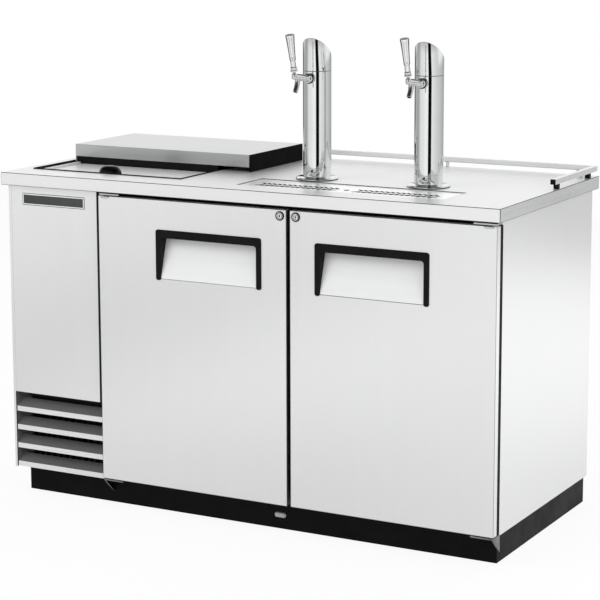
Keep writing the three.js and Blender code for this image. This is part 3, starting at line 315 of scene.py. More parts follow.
def set_up(name, mesh, body, finish, node):
    """Object on its body, with its finish, standing for a CAD node if one is named."""
    piece = new_object(name, mesh)
    mesh.materials.clear()
    mesh.materials.append(finish)
    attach(piece, body)
    if node:
        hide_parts(node)
    return piece


def merge(mesh, step):
    """Merges the mesh's doubles, takes one more step on it and makes its faces smooth."""
    work = bmesh.new()
    work.from_mesh(mesh)
    bmesh.ops.remove_doubles(work, verts=work.verts, dist=MERGE_DISTANCE)
    step(work)
    work.to_mesh(mesh)
    work.free()
    mesh.polygons.foreach_set("use_smooth", [True] * len(mesh.polygons))


def face_outwards(work):
    """Drops slivers and turns the faces outwards."""
    bmesh.ops.dissolve_degenerate(work, dist=SLIVER, edges=work.edges)
    bmesh.ops.recalc_face_normals(work, faces=work.faces)


def join_flat(work):
    """Joins the triangles of each flat face."""
    bmesh.ops.dissolve_limit(work, angle_limit=math.radians(FLAT_ANGLE), verts=work.verts, edges=work.edges)


def add_piece(name, part, finish, node=None, angle=32.0, body="cabinet"):
    """New object from a (points, faces) part in millimetres; edges that turn by more than the angle stay
    sharp."""
    points, faces = part
    mesh = bpy.data.meshes.new(name)
    mesh.from_pydata((np.asarray(points, float) * MM).tolist(), [], faces)
    merge(mesh, face_outwards)
    mesh.set_sharp_from_angle(angle=math.radians(angle))
    return set_up(name, mesh, body, finish, node)


def of_faces(mesh, kind):
    """Rows of three numbers, one for each face, such as its normal or its center."""
    values = np.empty(len(mesh.polygons) * 3)
    mesh.polygons.foreach_get(kind, values)
    return values.reshape(-1, 3)


def finish_where(mesh, chosen, finish):
    """Another finish for the chosen faces."""
    mesh.materials.append(finish)
    mesh.polygons.foreach_set("material_index", np.where(chosen, len(mesh.materials) - 1, 0))


def softened(node, edge, finish, segments=2, rim_finish=None, walls=None, one_way=False):
    """Merged copy of a CAD node with its edges rounded, standing for the node. The rounded edges may have
    a finish of their own, and so may the walls: (axis, finish) takes the faces that look along the axis,
    both ways or one way."""
    mesh = NODES[node].data.copy()
    mesh.name = node + "_dressed"
    merge(mesh, join_flat)
    piece = set_up(mesh.name, mesh, BODY_OF[node], finish, node)
    rim = piece.modifiers.new("Rounded edges", "BEVEL")
    rim.width = edge * MM
    rim.segments = segments
    rim.limit_method = "ANGLE"
    rim.angle_limit = math.radians(BEVEL_ANGLE)
    rim.use_clamp_overlap = True
    level = piece.modifiers.new("Flat faces", "WEIGHTED_NORMAL")
    level.mode = "FACE_AREA"
    level.weight = 100
    level.thresh = 0.01
    if rim_finish:
        mesh.materials.append(rim_finish)
        rim.material = 1
    if walls:
        along = of_faces(mesh, "normal") @ np.array(walls[0], float)
        finish_where(mesh, (along if one_way else abs(along)) > 0.9, walls[1])
    return piece


# Shader nodes and node groups

def feed(tree, sockets, values):
    """Feeds sockets by name or number, each from another socket or with a plain value."""
    for key, value in values.items():
        if isinstance(value, bpy.types.NodeSocket):
            tree.links.new(value, sockets[key])
        else:
            sockets[key].default_value = value


def add_node(tree, kind, values=None, **settings):
    """Node with its settings and its fed inputs."""
    node = tree.nodes.new(kind)
    for key, value in settings.items():
        setattr(node, key, value)
    feed(tree, node.inputs, values or {})
    return node


def scaled(tree, vector, scale):
    """Vector times a scale socket."""
    return add_node(tree, "ShaderNodeVectorMath", {0: vector, 1: scale}, operation="MULTIPLY").outputs[0]


def noise(tree, vector, scale, detail, roughness, distortion=0.0):
    """Grey noise from 0 to 1 at a vector."""
    inputs = {"Vector": vector, "Scale": scale, "Detail": detail, "Roughness": roughness, "Distortion": distortion}
    return add_node(tree, "ShaderNodeTexNoise", inputs).outputs["Fac"]


def spread(tree, value, low, high, to_low=0.0, to_high=1.0):
    """Value carried from one range to another, held at its ends."""
    inputs = {"Value": value, "From Min": low, "From Max": high, "To Min": to_low, "To Max": to_high}
    return add_node(tree, "ShaderNodeMapRange", inputs).outputs["Result"]


def sums(tree, operation, first, second):
    """One operation on two values."""
    return add_node(tree, "ShaderNodeMath", {0: first, 1: second}, operation=operation).outputs[0]


def weighted(tree, *terms):
    """Sum of values, each times its weight."""
    total, *others = [sums(tree, "MULTIPLY", value, weight) for value, weight in terms]
    for term in others:
        total = sums(tree, "ADD", total, term)
    return total


def blended(tree, share, first, second, way="MIX"):
    """Colour between two colours by a share; each is a socket or a colour."""
    first, second = [(*value, 1.0) if isinstance(value, tuple) else value for value in (first, second)]
    inputs = {0: share, 6: first, 7: second}
    return add_node(tree, "ShaderNodeMix", inputs, data_type="RGBA", blend_type=way).outputs[2]


def multiplied(tree, first, second):
    """Product of two colours."""
    return blended(tree, 1.0, first, second, "MULTIPLY")


def ramp(tree, value, stops):
    """Grey level by a value from 0 to 1, through the stops (position, level)."""
    node = add_node(tree, "ShaderNodeValToRGB", {0: value})
    elements = node.color_ramp.elements
    while len(elements) < len(stops):
        elements.new(0.5)
    for element, (position, level) in zip(elements, stops):
        element.position = position
        element.color = (level, level, level, 1.0)
    return node.outputs["Color"]


def new_group(name, inputs, outputs):
    """Empty shader node group. A socket has a name and a kind (Vector, Color or Float), and an input may
    have a value."""
    group = bpy.data.node_groups.new(name, "ShaderNodeTree")
    for label, kind, *value in inputs:
        socket = group.interface.new_socket(name=label, in_out="INPUT", socket_type="NodeSocket" + kind)
        if value:
            socket.default_value = value[0]
    for label, kind in outputs:
        group.interface.new_socket(name=label, in_out="OUTPUT", socket_type="NodeSocket" + kind)
    return group, group.nodes.new("NodeGroupInput").outputs, group.nodes.new("NodeGroupOutput").inputs


def brushing_group():
    """Brushed sheet: streaks and fine lines are noise stretched along the grain, marks are wide soft
    noise. Puts out a colour between Dark and Light, a roughness and a height."""
    group, out, put = new_group("brushed_sheet", [
        ("Vector", "Vector"), ("Line Scale", "Vector", (400.0, 400.0, 4.0)),
        ("Streak Scale", "Vector", (45.0, 45.0, 0.8)), ("Dark", "Color"), ("Light", "Color"),
        ("Smooth", "Float", 0.26), ("Coarse", "Float", 0.36),
    ], [("Color", "Color"), ("Roughness", "Float"), ("Height", "Float")])
    lines = noise(group, scaled(group, out["Vector"], out["Line Scale"]), 1.0, 3.0, 0.6)
    streaks = noise(group, scaled(group, out["Vector"], out["Streak Scale"]), 1.0, 3.0, 0.55)
    marks = noise(group, out["Vector"], 2.4, 2.0, 0.45)
    share = spread(group, weighted(group, (streaks, 0.42), (lines, 0.28), (marks, 0.3)), 0.36, 0.64)
    rough = spread(group, weighted(group, (lines, 0.5), (marks, 0.5)), 0.3, 0.7, out["Smooth"], out["Coarse"])
    colour = blended(group, share, out["Dark"], out["Light"])
    feed(group, put, {"Color": colour, "Roughness": rough, "Height": lines})
    return group


def handling_group():
    """Touched surface: wide smudges and fine scratches. Puts out both masks and a roughness between
    Clean and Touched."""
    group, out, put = new_group("handling_marks", [
        ("Vector", "Vector"), ("Smudge Scale", "Float", 9.0), ("Clean", "Float", 0.1), ("Touched", "Float", 0.2),
    ], [("Smudges", "Float"), ("Scratches", "Float"), ("Roughness", "Float")])
    smudges = spread(group, noise(group, out["Vector"], out["Smudge Scale"], 4.0, 0.6), 0.42, 0.68)
    scratches = spread(group, noise(group, out["Vector"], 60.0, 6.0, 0.75, 2.0), 0.60, 0.66)
    touch = sums(group, "MAXIMUM", smudges, sums(group, "MULTIPLY", scratches, 0.6))
    rough = spread(group, touch, 0.0, 1.0, out["Clean"], out["Touched"])
    feed(group, put, {"Smudges": smudges, "Scratches": scratches, "Roughness": rough})
    return group


def moulding_group():
    """Fine pebble of moulded or sprayed surfaces: a noise as a height, and a colour between Dark and
    Light by the pebble and a wide cloud."""
    group, out, put = new_group("pebbled_surface", [
        ("Vector", "Vector"), ("Pebble Scale", "Float", 900.0), ("Dark", "Color"), ("Light", "Color"),
    ], [("Color", "Color"), ("Height", "Float")])
    pebble = noise(group, out["Vector"], out["Pebble Scale"], 2.0, 0.5)
    cloud = noise(group, out["Vector"], 14.0, 4.0, 0.6)
    share = spread(group, weighted(group, (cloud, 0.7), (pebble, 0.3)), 0.36, 0.66)
    feed(group, put, {"Color": blended(group, share, out["Dark"], out["Light"]), "Height": pebble})
    return group


def spangle_group():
    """Zinc flakes: cells of a Voronoi pattern, each with its own tone, blurred by noise."""
    group, out, put = new_group("zinc_spangle", [
        ("Vector", "Vector"), ("Flake Scale", "Float", 55.0), ("Dark", "Color"), ("Light", "Color"),
    ], [("Color", "Color"), ("Roughness", "Float"), ("Height", "Float")])
    cells = add_node(group, "ShaderNodeTexVoronoi", {"Vector": out["Vector"], "Scale": out["Flake Scale"]})
    grey = add_node(group, "ShaderNodeRGBToBW", {0: cells.outputs["Color"]})
    share = weighted(group, (grey.outputs[0], 0.6), (noise(group, out["Vector"], 7.0, 3.0, 0.5), 0.4))
    feed(group, put, {"Color": blended(group, share, out["Dark"], out["Light"]),
                      "Roughness": spread(group, share, 0.2, 0.8, 0.34, 0.5), "Height": share})
    return group


BRUSHING = brushing_group()
HANDLING = handling_group()
MOULDING = moulding_group()
SPANGLE = spangle_group()


# Materials

# Depths of the bumps, in metres
BRUSHED_DEPTH = 0.0000022
SCRATCH_DEPTH = 0.0000006
ZINC_DEPTH = 0.00004
FIN_DEPTH = 0.0006


def new_material(name, colour, roughness, metallic, **more):
    """Material with a Principled shader whose plain values are set on its own sockets."""
    material = bpy.data.materials.new(name)
    material.use_nodes = True
    tree = material.node_tree
    shader = tree.nodes["Principled BSDF"].inputs
    feed(tree, shader, {"Base Color": (*colour, 1.0), "Roughness": roughness, "Metallic": metallic})
    feed(tree, shader, {label.replace("_", " "): value for label, value in more.items()})
    return material, tree, shader, tree.nodes.new("ShaderNodeTexCoord").outputs["Object"]


def use_group(tree, group, vector, **values):
    """Outputs of a group for a vector and named values; its colours get their fourth number here."""
    values = {label.replace("_", " "): value for label, value in values.items()}
    for label in {"Dark", "Light"} & set(values):
        values[label] = (*values[label], 1.0)
    return add_node(tree, "ShaderNodeGroup", {"Vector": vector, **values}, node_tree=group).outputs


def cover(tree, shader, colour, roughness, height, depth):
    """Colour, roughness and a bump into the shader."""
    bump = add_node(tree, "ShaderNodeBump", {"Height": height, "Distance": depth, "Strength": 1.0})
    feed(tree, shader, {"Base Color": colour, "Roughness": roughness, "Normal": bump.outputs["Normal"]})


def brushed_steel(name, grain, dark, light, smooth, coarse, metallic=1.0):
    """Brushed sheet steel whose grain runs along the axis with the smallest scale."""
    material, tree, shader, vector = new_material(name, light, coarse, metallic)
    sheet = use_group(tree, BRUSHING, vector, Line_Scale=grain[0], Streak_Scale=grain[1], Dark=dark, Light=light,
                      Smooth=smooth, Coarse=coarse)
    cover(tree, shader, sheet["Color"], sheet["Roughness"], sheet["Height"], BRUSHED_DEPTH)
    return material


def polished_steel(name, dark, light, clean, touched):
    """Mirror polished steel with smudges and hairline scratches."""
    material, tree, shader, vector = new_material(name, light, clean, 1.0)
    marks = use_group(tree, HANDLING, vector, Smudge_Scale=11.0, Clean=clean, Touched=touched)
    colour = blended(tree, marks["Smudges"], light, dark)
    cover(tree, shader, colour, marks["Roughness"], marks["Scratches"], SCRATCH_DEPTH)
    return material


def moulded(name, dark, light, roughness, touched, pebble, depth, **more):
    """Moulded, sprayed or rubber surface with a fine pebble and uneven gloss."""
    material, tree, shader, vector = new_material(name, light, roughness, 0.0, **more)
    skin = use_group(tree, MOULDING, vector, Pebble_Scale=pebble, Dark=dark, Light=light)
    marks = use_group(tree, HANDLING, vector, Smudge_Scale=16.0, Clean=roughness, Touched=touched)
    cover(tree, shader, skin["Color"], marks["Roughness"], skin["Height"], depth)
    return material


def galvanised(name, dark, light, flake):
    """Hot-dipped zinc with flakes of different tone."""
    material, tree, shader, vector = new_material(name, light, 0.42, 0.9)
    zinc = use_group(tree, SPANGLE, vector, Flake_Scale=flake, Dark=dark, Light=light)
    cover(tree, shader, zinc["Color"], zinc["Roughness"], zinc["Height"], ZINC_DEPTH)
    return material


def finned(name):
    """Thin aluminium fins: upright lines from a sine of the place across, coloured near black as painted shade of
    the dark machine room behind the louvres, and darker still between the fins.
    """
    material, tree, shader, vector = new_material(name, (0.5, 0.51, 0.52), 0.35, 0.9)
    inputs = {"Vector": vector, "Scale": 160.0, "Distortion": 0.6, "Detail": 1.0}
    wave = add_node(tree, "ShaderNodeTexWave", inputs, bands_direction="X").outputs["Fac"]
    dust = use_group(tree, HANDLING, vector, Smudge_Scale=20.0, Clean=0.3, Touched=0.55)
    colour = blended(tree, wave, (0.006, 0.006, 0.007), (0.03, 0.03, 0.032))
    cover(tree, shader, colour, dust["Roughness"], wave, FIN_DEPTH)
    return material


# Levels of the clear handle by slant, painted light and shade: bright in front, a painted grey line beside its
# bore, painted dark at its sides
HANDLE_PAINTED_TONES = [(0.0, 0.85), (0.06, 0.82), (0.11, 0.42), (0.17, 0.80), (0.30, 0.66), (0.42, 0.10), (0.5, 0.03)]


def clear_handle(name):
    """Clear moulded plastic, its look painted by slant: bright in the middle, a thin painted grey line where its
    bore would show through, and painted dark where it is looked through at a slant."""
    material, tree, shader, vector = new_material(name, (0.93, 0.94, 0.95), 0.1, 0.0, IOR=1.49)
    marks = use_group(tree, HANDLING, vector, Smudge_Scale=24.0, Clean=0.10, Touched=0.2)
    slant = add_node(tree, "ShaderNodeLayerWeight", {"Blend": 0.5}).outputs["Facing"]
    feed(tree, shader, {"Base Color": ramp(tree, slant, HANDLE_PAINTED_TONES), "Roughness": marks["Roughness"]})
    return material


# Line scale and streak scale of a brushed grain, by the way it runs
UPRIGHT = (420.0, 420.0, 5.0), (34.0, 34.0, 0.7)
LENGTH = (5.0, 420.0, 420.0), (0.7, 34.0, 34.0)
DEPTH = (420.0, 5.0, 420.0), (34.0, 0.7, 34.0)

DOOR_STEEL = brushed_steel("brushed_upright", UPRIGHT, (0.80, 0.805, 0.803), (0.82, 0.825, 0.823), 0.18, 0.23, 0.6)
# Painted light: a lighter copy of the door steel for the right side panel and the right door's sides, the side
# that catches more light.
LIT_SIDE_STEEL = brushed_steel("brushed_side", UPRIGHT, (0.92, 0.925, 0.925), (0.94, 0.945, 0.945), 0.20, 0.25, 0.75)
# Painted reflection and painted shade: dark steel for the doors' rounded rims, for the dark line they reflect, and
# for the left door's sides in the shaded gap between the doors.
RIM_SHADE_STEEL = brushed_steel("door_rims_painted_shade", UPRIGHT, (0.34, 0.345, 0.345), (0.40, 0.405, 0.405), 0.3, 0.4)
WELL_STEEL = brushed_steel("brushed_well", UPRIGHT, (0.5, 0.505, 0.505), (0.64, 0.645, 0.645), 0.28, 0.42)
HOOD_STEEL = brushed_steel("brushed_hood", LENGTH, (0.65, 0.655, 0.655), (0.69, 0.695, 0.695), 0.26, 0.34, 0.6)
# Painted shade: the hood's front faces get a darker copy of the hood steel than its top.
SHADED_HOOD_FRONT = brushed_steel("brushed_hood_front_painted_shade", LENGTH, (0.50, 0.505, 0.505), (0.58, 0.585, 0.585), 0.26, 0.34)
TOP_STEEL = brushed_steel("brushed_worktop", LENGTH, (0.86, 0.865, 0.863), (0.885, 0.89, 0.888), 0.30, 0.36, 0.6)
TRAY_STEEL = brushed_steel("polished_tray", LENGTH, (0.95, 0.955, 0.955), (0.98, 0.985, 0.985), 0.16, 0.22, 0.3)
POCKET_STEEL = brushed_steel("satin_pocket", LENGTH, (0.90, 0.905, 0.91), (0.94, 0.945, 0.95), 0.45, 0.55, 0.35)
# Painted reflection: near-black steel for the worktop's rounded rims and the strip at its front right corner, for
# the dark line its edges reflect.
PAINTED_EDGE_STEEL = brushed_steel("painted_dark_edges", LENGTH, (0.10, 0.102, 0.105), (0.14, 0.142, 0.145), 0.3, 0.4)
LID_STEEL = brushed_steel("brushed_lid", LENGTH, (0.80, 0.805, 0.803), (0.83, 0.835, 0.833), 0.34, 0.40, 0.3)
# Painted shade: a dark copy of the grille steel for the louvre blades, for the shade inside the grille.
SHADED_BLADE_STEEL = brushed_steel("brushed_blades_painted_shade", LENGTH, (0.24, 0.24, 0.245), (0.32, 0.32, 0.325), 0.4, 0.5, 0.6)
# Painted shadow: near-black steel for the shadow line round the nameplate.
SHADOW_LINE_STEEL = brushed_steel("painted_shadow_lines", LENGTH, (0.012, 0.012, 0.013), (0.02, 0.02, 0.021), 0.4, 0.5)
RAIL_STEEL = brushed_steel("brushed_rail", LENGTH, (0.80, 0.805, 0.81), (0.84, 0.845, 0.85), 0.22, 0.28, 0.15)
LOCK_STEEL = brushed_steel("satin_lock", LENGTH, (0.86, 0.865, 0.865), (0.90, 0.905, 0.905), 0.16, 0.22, 0.6)
GRILLE_STEEL = brushed_steel("brushed_grille", LENGTH, (0.80, 0.805, 0.805), (0.84, 0.845, 0.845), 0.26, 0.34, 0.5)
# Painted shade: the worktop's faces that look to the right get a darker steel than its top and front.
SHADED_FASCIA_END = brushed_steel("brushed_fascia_end_painted_shade", DEPTH, (0.64, 0.645, 0.65), (0.74, 0.745, 0.75),
                             0.24, 0.32, 0.7)
SIDE_RAIL_STEEL = brushed_steel("brushed_side_rail", DEPTH, (0.80, 0.805, 0.805), (0.84, 0.845, 0.845),
                                0.22, 0.28, 0.75)
MIRROR_STEEL = polished_steel("polished_tube", (0.76, 0.765, 0.77), (0.80, 0.805, 0.81), 0.03, 0.07)
TAP_CHROME = polished_steel("polished_taps", (0.58, 0.585, 0.59), (0.70, 0.705, 0.71), 0.05, 0.10)
HINGE_STEEL = polished_steel("plated_hinges", (0.55, 0.555, 0.56), (0.70, 0.705, 0.71), 0.16, 0.28)
# Painted shade: a darker copy of the hinge plating for the lower hinges, low under the doors.
SHADED_HINGE = polished_steel("shaded_lower_hinges", (0.12, 0.12, 0.122), (0.26, 0.26, 0.262), 0.2, 0.3)
ZINC = galvanised("galvanised_sheet", (0.34, 0.35, 0.36), (0.60, 0.61, 0.62), 55.0)
SHADED_FINS = finned("coil_fins_painted_shade")
BLACK_PAINT = moulded("black_sprayed_paint", (0.003, 0.003, 0.0032), (0.006, 0.006, 0.0065), 0.34, 0.46,
                      700.0, 0.00004, Specular_IOR_Level=0.07)
# Black moulding for the handles, collar and trim, also used as painted shade for the panel's gap strips and the
# lock's keyhole and rings.
BLACK_MOULDING_AND_SHADE = moulded("black_moulding_and_shade", (0.003, 0.003, 0.0032), (0.006, 0.006, 0.0063), 0.40, 0.5,
                         1400.0, 0.00006, Specular_IOR_Level=0.12)
# Painted shade and painted reflection: this black colours the drip pan's rim, the drip plate's slot walls and rims
# and the slot rims, where shade falls, and the hood's steel right end, for the dark surroundings it reflects.
SHADE_AND_REFLECTION_BLACK = moulded("black_painted_shade_and_reflection", (0.002, 0.002, 0.002), (0.004, 0.004, 0.004), 0.5, 0.6,
                     700.0, 0.00004, Specular_IOR_Level=0.03)
BLACK_GLOSS = moulded("black_gloss_moulding", (0.002, 0.002, 0.002), (0.004, 0.004, 0.004), 0.10, 0.2,
                      300.0, 0.00001, Specular_IOR_Level=0.25, Coat_Weight=0.12, Coat_Roughness=0.05)
# Black rubber for the wiper, gaskets and beads, also used as painted shade for the door edge band and the tray's
# edge strip.
BLACK_RUBBER_AND_SHADE = moulded("black_rubber", (0.003, 0.003, 0.003), (0.007, 0.007, 0.007), 0.6, 0.75,
                       900.0, 0.00008, Specular_IOR_Level=0.2)
BLACK_ENAMEL = moulded("compressor_enamel", (0.008, 0.008, 0.009), (0.02, 0.02, 0.022), 0.26, 0.4, 240.0, 0.0001)
WHITE_LINER = moulded("white_liner", (0.70, 0.71, 0.70), (0.80, 0.81, 0.80), 0.32, 0.42, 500.0, 0.00005)
DARK_PLATE = moulded("plate_enamel", (0.03, 0.034, 0.034), (0.05, 0.055, 0.055), 0.3, 0.4, 500.0, 0.00002)
CLEAR_PLASTIC = clear_handle("clear_handle_plastic")


# Carcass, worktop and doors from their CAD nodes

def dress_carcass():
    softened("plinth", 1.2, BLACK_PAINT)
    softened("left_side_panel", 0.6, DOOR_STEEL)
    # Painted light: the right side panel is lighter than the left one, which has the door steel.
    softened("right_side_panel", 1.0, LIT_SIDE_STEEL)
    softened("front_panel", 0.7, DOOR_STEEL)
    # Painted shade: only the grille's front-facing faces get the grille steel; the blades behind get dark steel.
    softened("louvre_grille", 0.45, SHADED_BLADE_STEEL, walls=((0, -1, 0), GRILLE_STEEL), one_way=True)
    softened("back_panel", 1.0, ZINC)
    softened("machine_rear_panel", 0.4, ZINC)
    softened("cabinet_floor", 0.8, ZINC)
    softened("partition_wall", 1.5, WHITE_LINER)
    softened("cold_room_ceiling", 0.8, BLACK_MOULDING_AND_SHADE)
    softened("door_mullion", 2.0, BLACK_MOULDING_AND_SHADE)
    softened("keg_floor_plate", 0.4, ZINC)


def dress_worktop():
    # Painted reflection and painted shade: the worktop's rounded rims get the dark edge steel, and its faces that
    # look to the right a darker steel.
    softened("worktop", 1.5, TOP_STEEL, rim_finish=PAINTED_EDGE_STEEL, walls=((1, 0, 0), SHADED_FASCIA_END), one_way=True)
    softened("well_collar", 0.4, BLACK_MOULDING_AND_SHADE)
    softened("bottle_well", 0.6, WELL_STEEL, walls=((0, 0, 1), LID_STEEL), one_way=True)
    softened("sliding_lid", 1.2, LID_STEEL)
    # Painted shade: the hood's forward-looking faces get the darker front steel.
    softened("hood_cover", 0.8, HOOD_STEEL, walls=((0, -1, 0), SHADED_HOOD_FRONT), one_way=True)
    # Painted reflection: the hood's steel right end is coloured black for the dark surroundings it reflects.
    softened("hood_end_right", 0.5, SHADE_AND_REFLECTION_BLACK)
    softened("hood_wiper", 0.6, BLACK_RUBBER_AND_SHADE)
    softened("rear_rail", 1.8, RAIL_STEEL, 3)
    softened("side_rail", 1.8, SIDE_RAIL_STEEL, 3)
    pan = softened("drip_pan", 0.3, WELL_STEEL)
    # Painted shade: the pan's rim round the drip plate is black for the dark gap there.
    finish_where(pan.data, of_faces(pan.data, "center")[:, 2] > PAN_RIM * MM, SHADE_AND_REFLECTION_BLACK)
    # Painted shade: all but the plate's upper and lower faces, that is the slot walls and rounded rims, are black
    # for the shade inside the slots.
    softened("drip_plate", 0.5, SHADE_AND_REFLECTION_BLACK, 1, rim_finish=SHADE_AND_REFLECTION_BLACK, walls=((0, 0, 1), TRAY_STEEL))


def dress_doors():
    for side in DOORS:
        # The doors' rounded rims and the left door's sides get dark steel as painted reflection and shade; the
        # right door's sides get the lighter side steel as painted light.
        softened(f"{side}_door_shell", 1.6, DOOR_STEEL, 2, rim_finish=RIM_SHADE_STEEL,
                 walls=((1, 0, 0), LIT_SIDE_STEEL if side == "right" else RIM_SHADE_STEEL))
        softened(f"hinge_upper_{side}", 0.5, HINGE_STEEL)
        softened(f"hinge_lower_{side}", 0.5, SHADED_HINGE)


def dress_machinery():
    softened("condenser_coil", 0.4, SHADED_FINS)
    softened("condenser_fan_housing", 0.6, ZINC)
    softened("condenser_fan_blade", 0.5, ZINC)
    softened("evaporator_housing", 1.5, WHITE_LINER)
    softened("evaporator_fan_blade", 0.5, WHITE_LINER)


# Handles, locks, gaskets and liners of the doors

def bezel_part(middle):
    """Raised black frame: an upside-down U with round corners and round leg ends, its rim rounded."""
    low, high = BEZEL_Z
    left, right = middle - BEZEL_HALF, middle + BEZEL_HALF
    inner = [(left + BEZEL_LEG, POCKET_Z[1]), (right - BEZEL_LEG, POCKET_Z[1])]
    corners = [(left, high), (left, low), (left + BEZEL_LEG, low), inner[0], inner[1], (right - BEZEL_LEG, low),
               (right, low), (right, high)]
    radii = [7.0, 6.0, 6.0, 8.0, 8.0, 6.0, 6.0, 7.0]
    outline = rounded(corners, radii, 8)
    return plate(outline, soft_levels(-DOOR_FACE + SEAT, -DOOR_FACE + SEAT + 2.5, 1.2, both=False), "front")


def pocket_part(middle):
    """Walls of the hand pocket: a three-cornered cheek each side, a ceiling and a sloping back."""
    half = BEZEL_HALF - BEZEL_LEG
    face, deep = DOOR_FACE, DOOR_FACE + POCKET_DEPTH
    low, high = POCKET_Z
    left, right = middle - half, middle + half
    cheek = traced([(face - 0.2, low), (deep, high), (face - 0.2, high)])
    back = traced([(face + 1.6, low - 1), (face + 4, low - 1), (deep + 3, high + 3), (deep, high),
                   (face + 1.6, low + 1.2)])
    roof = traced([(face, high), (deep + 3, high), (deep + 3, high + 3), (face, high + 3)])
    spans = [(cheek, left - 3, left), (cheek, right, right + 3), (back, left - 3, right + 3),
             (roof, left - 3, right + 3)]
    return combined(*[plate(shape, [(0, x0), (0, x1)], "side") for shape, x0, x1 in spans])


def pocket_plate_part(middle):
    """Steel floor of the pocket: a thin sheet that leaves the door's face flush and slopes in to the
    ceiling, as a five-cornered section pushed along the door."""
    half = BEZEL_HALF - BEZEL_LEG - 0.2
    low, high = POCKET_Z
    face, deep = DOOR_FACE, DOOR_FACE + POCKET_DEPTH
    section = traced([(face, low - 3.2), (face + 1.3, low - 3.2), (deep, high - 0.6), (deep - 1.2, high - 0.4),
                      (face, low + 0.6)])
    return plate(section, [(0, middle - half), (0, middle + half)], "side")


def gasket_part(side):
    """Magnetic gasket: a strip with a soft rounded rim at the carcass and a narrow root at the door."""
    door = DOORS[side]
    u = (door["x"][0] + 9, door["x"][1] - 9)
    v = (DOOR_Z[0] + 9, DOOR_Z[1] - 9)
    root, rim = -(DOOR_REAR + SEAT), -(CARCASS_FRONT - SEAT)
    depth = root - rim
    profile = [(3, root), (2.2, root - 0.25 * depth), (0.6, root - 0.42 * depth), (0, root - 0.6 * depth),
               (0.3, rim + 0.12 * depth), (1.6, rim)]
    profile += [(14 - d, h) for d, h in profile[::-1]]
    return framed(profile, u, v, "front")


def liner_part(side):
    """Inner face of the door: a shallow raised panel with round corners and a pressed rim."""
    door = DOORS[side]
    u = (door["x"][0] + 34, door["x"][1] - 34)
    v = (DOOR_Z[0] + 34, DOOR_Z[1] - 34)
    outline = rectangle((-u[1], -u[0]), v, 36, 8)
    levels = [(0, DOOR_REAR + 0.15), (1.2, DOOR_REAR + 2.6), (3.0, DOOR_REAR + 4.4), (6.0, DOOR_REAR + 5.0),
              (22.0, DOOR_REAR + 5.0), (25.0, DOOR_REAR + 3.4), (28.0, DOOR_REAR + 3.4)]
    points, faces = plate(outline, levels, "top")
    mirrored = np.stack([-points[:, 0], points[:, 2], points[:, 1]], -1)
    return mirrored, faces


def lock_part(side):
    """Cylinder lock: a stepped round head with a domed rim, a barrel and a round keyhole; the keyhole's slot is
    drawn with the lock's painted shade.
    """
    front = -SEAT - 2.4
    profile = [(0, 24), (9.0, 24), (9.0, 0.2), (9.9, -SEAT), (9.9, front + 0.8), (9.6, front + 0.2), (9.0, front),
               (7.2, front + 0.1), (6.9, front + 1.0), (5.7, front + 1.0), (5.4, front + 0.1), (4.8, front - 0.1),
               (2.2, front - 0.1), (1.9, front + 0.3), (1.8, front + 2.6), (0, front + 2.6)]
    return turned(profile, (DOORS[side]["lock"], DOOR_FACE, LOCK_Z), (0, 1, 0), 48)


def keyhole_shade_part(side):
    """Painted shade of the lock: a narrow round-ended slot just proud of the head's face for the dark keyhole, a
    ring round the head for the gap round it and a ring in its groove, both turned about the lock's axis."""
    x, z = DOORS[side]["lock"], LOCK_Z
    face = -DOOR_FACE + SEAT + 2.4
    slot = pad((x - 1.9, x + 1.9), (z - 3.8, z + 3.8), [(0, face - 1.0), (0, face + 0.15)], "front", 1.8, 3)
    rim = hoop([(8.8, -SEAT), (12.3, -SEAT), (12.3, -1.8), (11.5, -3.0), (8.8, -3.0)], (x, DOOR_FACE, z),
               (0, 1, 0), 40)
    groove = hoop([(5.5, -1.0), (6.7, -1.0), (6.7, -2.45), (5.5, -2.45)], (x, DOOR_FACE, z), (0, 1, 0), 32)
    return combined(slot, rim, groove)


def add_door_fittings():
    for side, door in DOORS.items():
        middle, hinge = door["handle"], door["hinge"]
        # Painted shade: a black band round the rear of the door's edges, for the shade in the gap between door and
        # cabinet.
        band = framed([(-0.3, 304.2), (-0.3, 320.0), (0.4, 320.0), (0.4, 304.2)], door["x"], DOOR_Z, "front")
        washer = hoop([(4.2, 869.2), (8.2, 869.2), (8.6, 869.7), (8.6, 870.7), (8.2, 871.2), (4.2, 871.2)],
                      (hinge, HINGE_Y, 0.0), sides=32)
        leaf = pad(sorted((hinge, hinge + door["toward"] * HINGE_LEAF)), (863.4, 869.0),
                   soft_levels(-DOOR_FACE + 0.1, -DOOR_FACE + 2.2, 1.1, both=False), "front", 2.7, 5)
        for name, part, finish, slot, node, angle, body in (
            ("handle_frame", combined(bezel_part(middle), pocket_part(middle)), BLACK_MOULDING_AND_SHADE, "black_trim",
             "door_handle", 32, "door"),
            ("pocket_floor", pocket_plate_part(middle), POCKET_STEEL, "brushed_panels", "handle_plate", 32,
             "door"),
            ("door_edge_shade_band", band, BLACK_RUBBER_AND_SHADE, "black_rubber", None, 32, "door"),
            ("gasket_strip", gasket_part(side), BLACK_RUBBER_AND_SHADE, "black_rubber", "door_gasket", 50, "door"),
            ("door_liner", liner_part(side), WHITE_LINER, "white_liner", None, 25, "door"),
            ("hinge_washer", combined(washer, leaf), HINGE_STEEL, "polished_steel", None, 32, "door"),
            ("lock_head", lock_part(side), LOCK_STEEL, "polished_steel", "door_lock", 40, "lock"),
            ("lock_keyhole_shade", keyhole_shade_part(side), BLACK_MOULDING_AND_SHADE, "black_trim", None, 32, "lock"),
        ):
            add_piece(f"{side}_{name}", part, finish, node and f"{side}_{node}", angle, f"{side}_{body}")


# Columns and taps

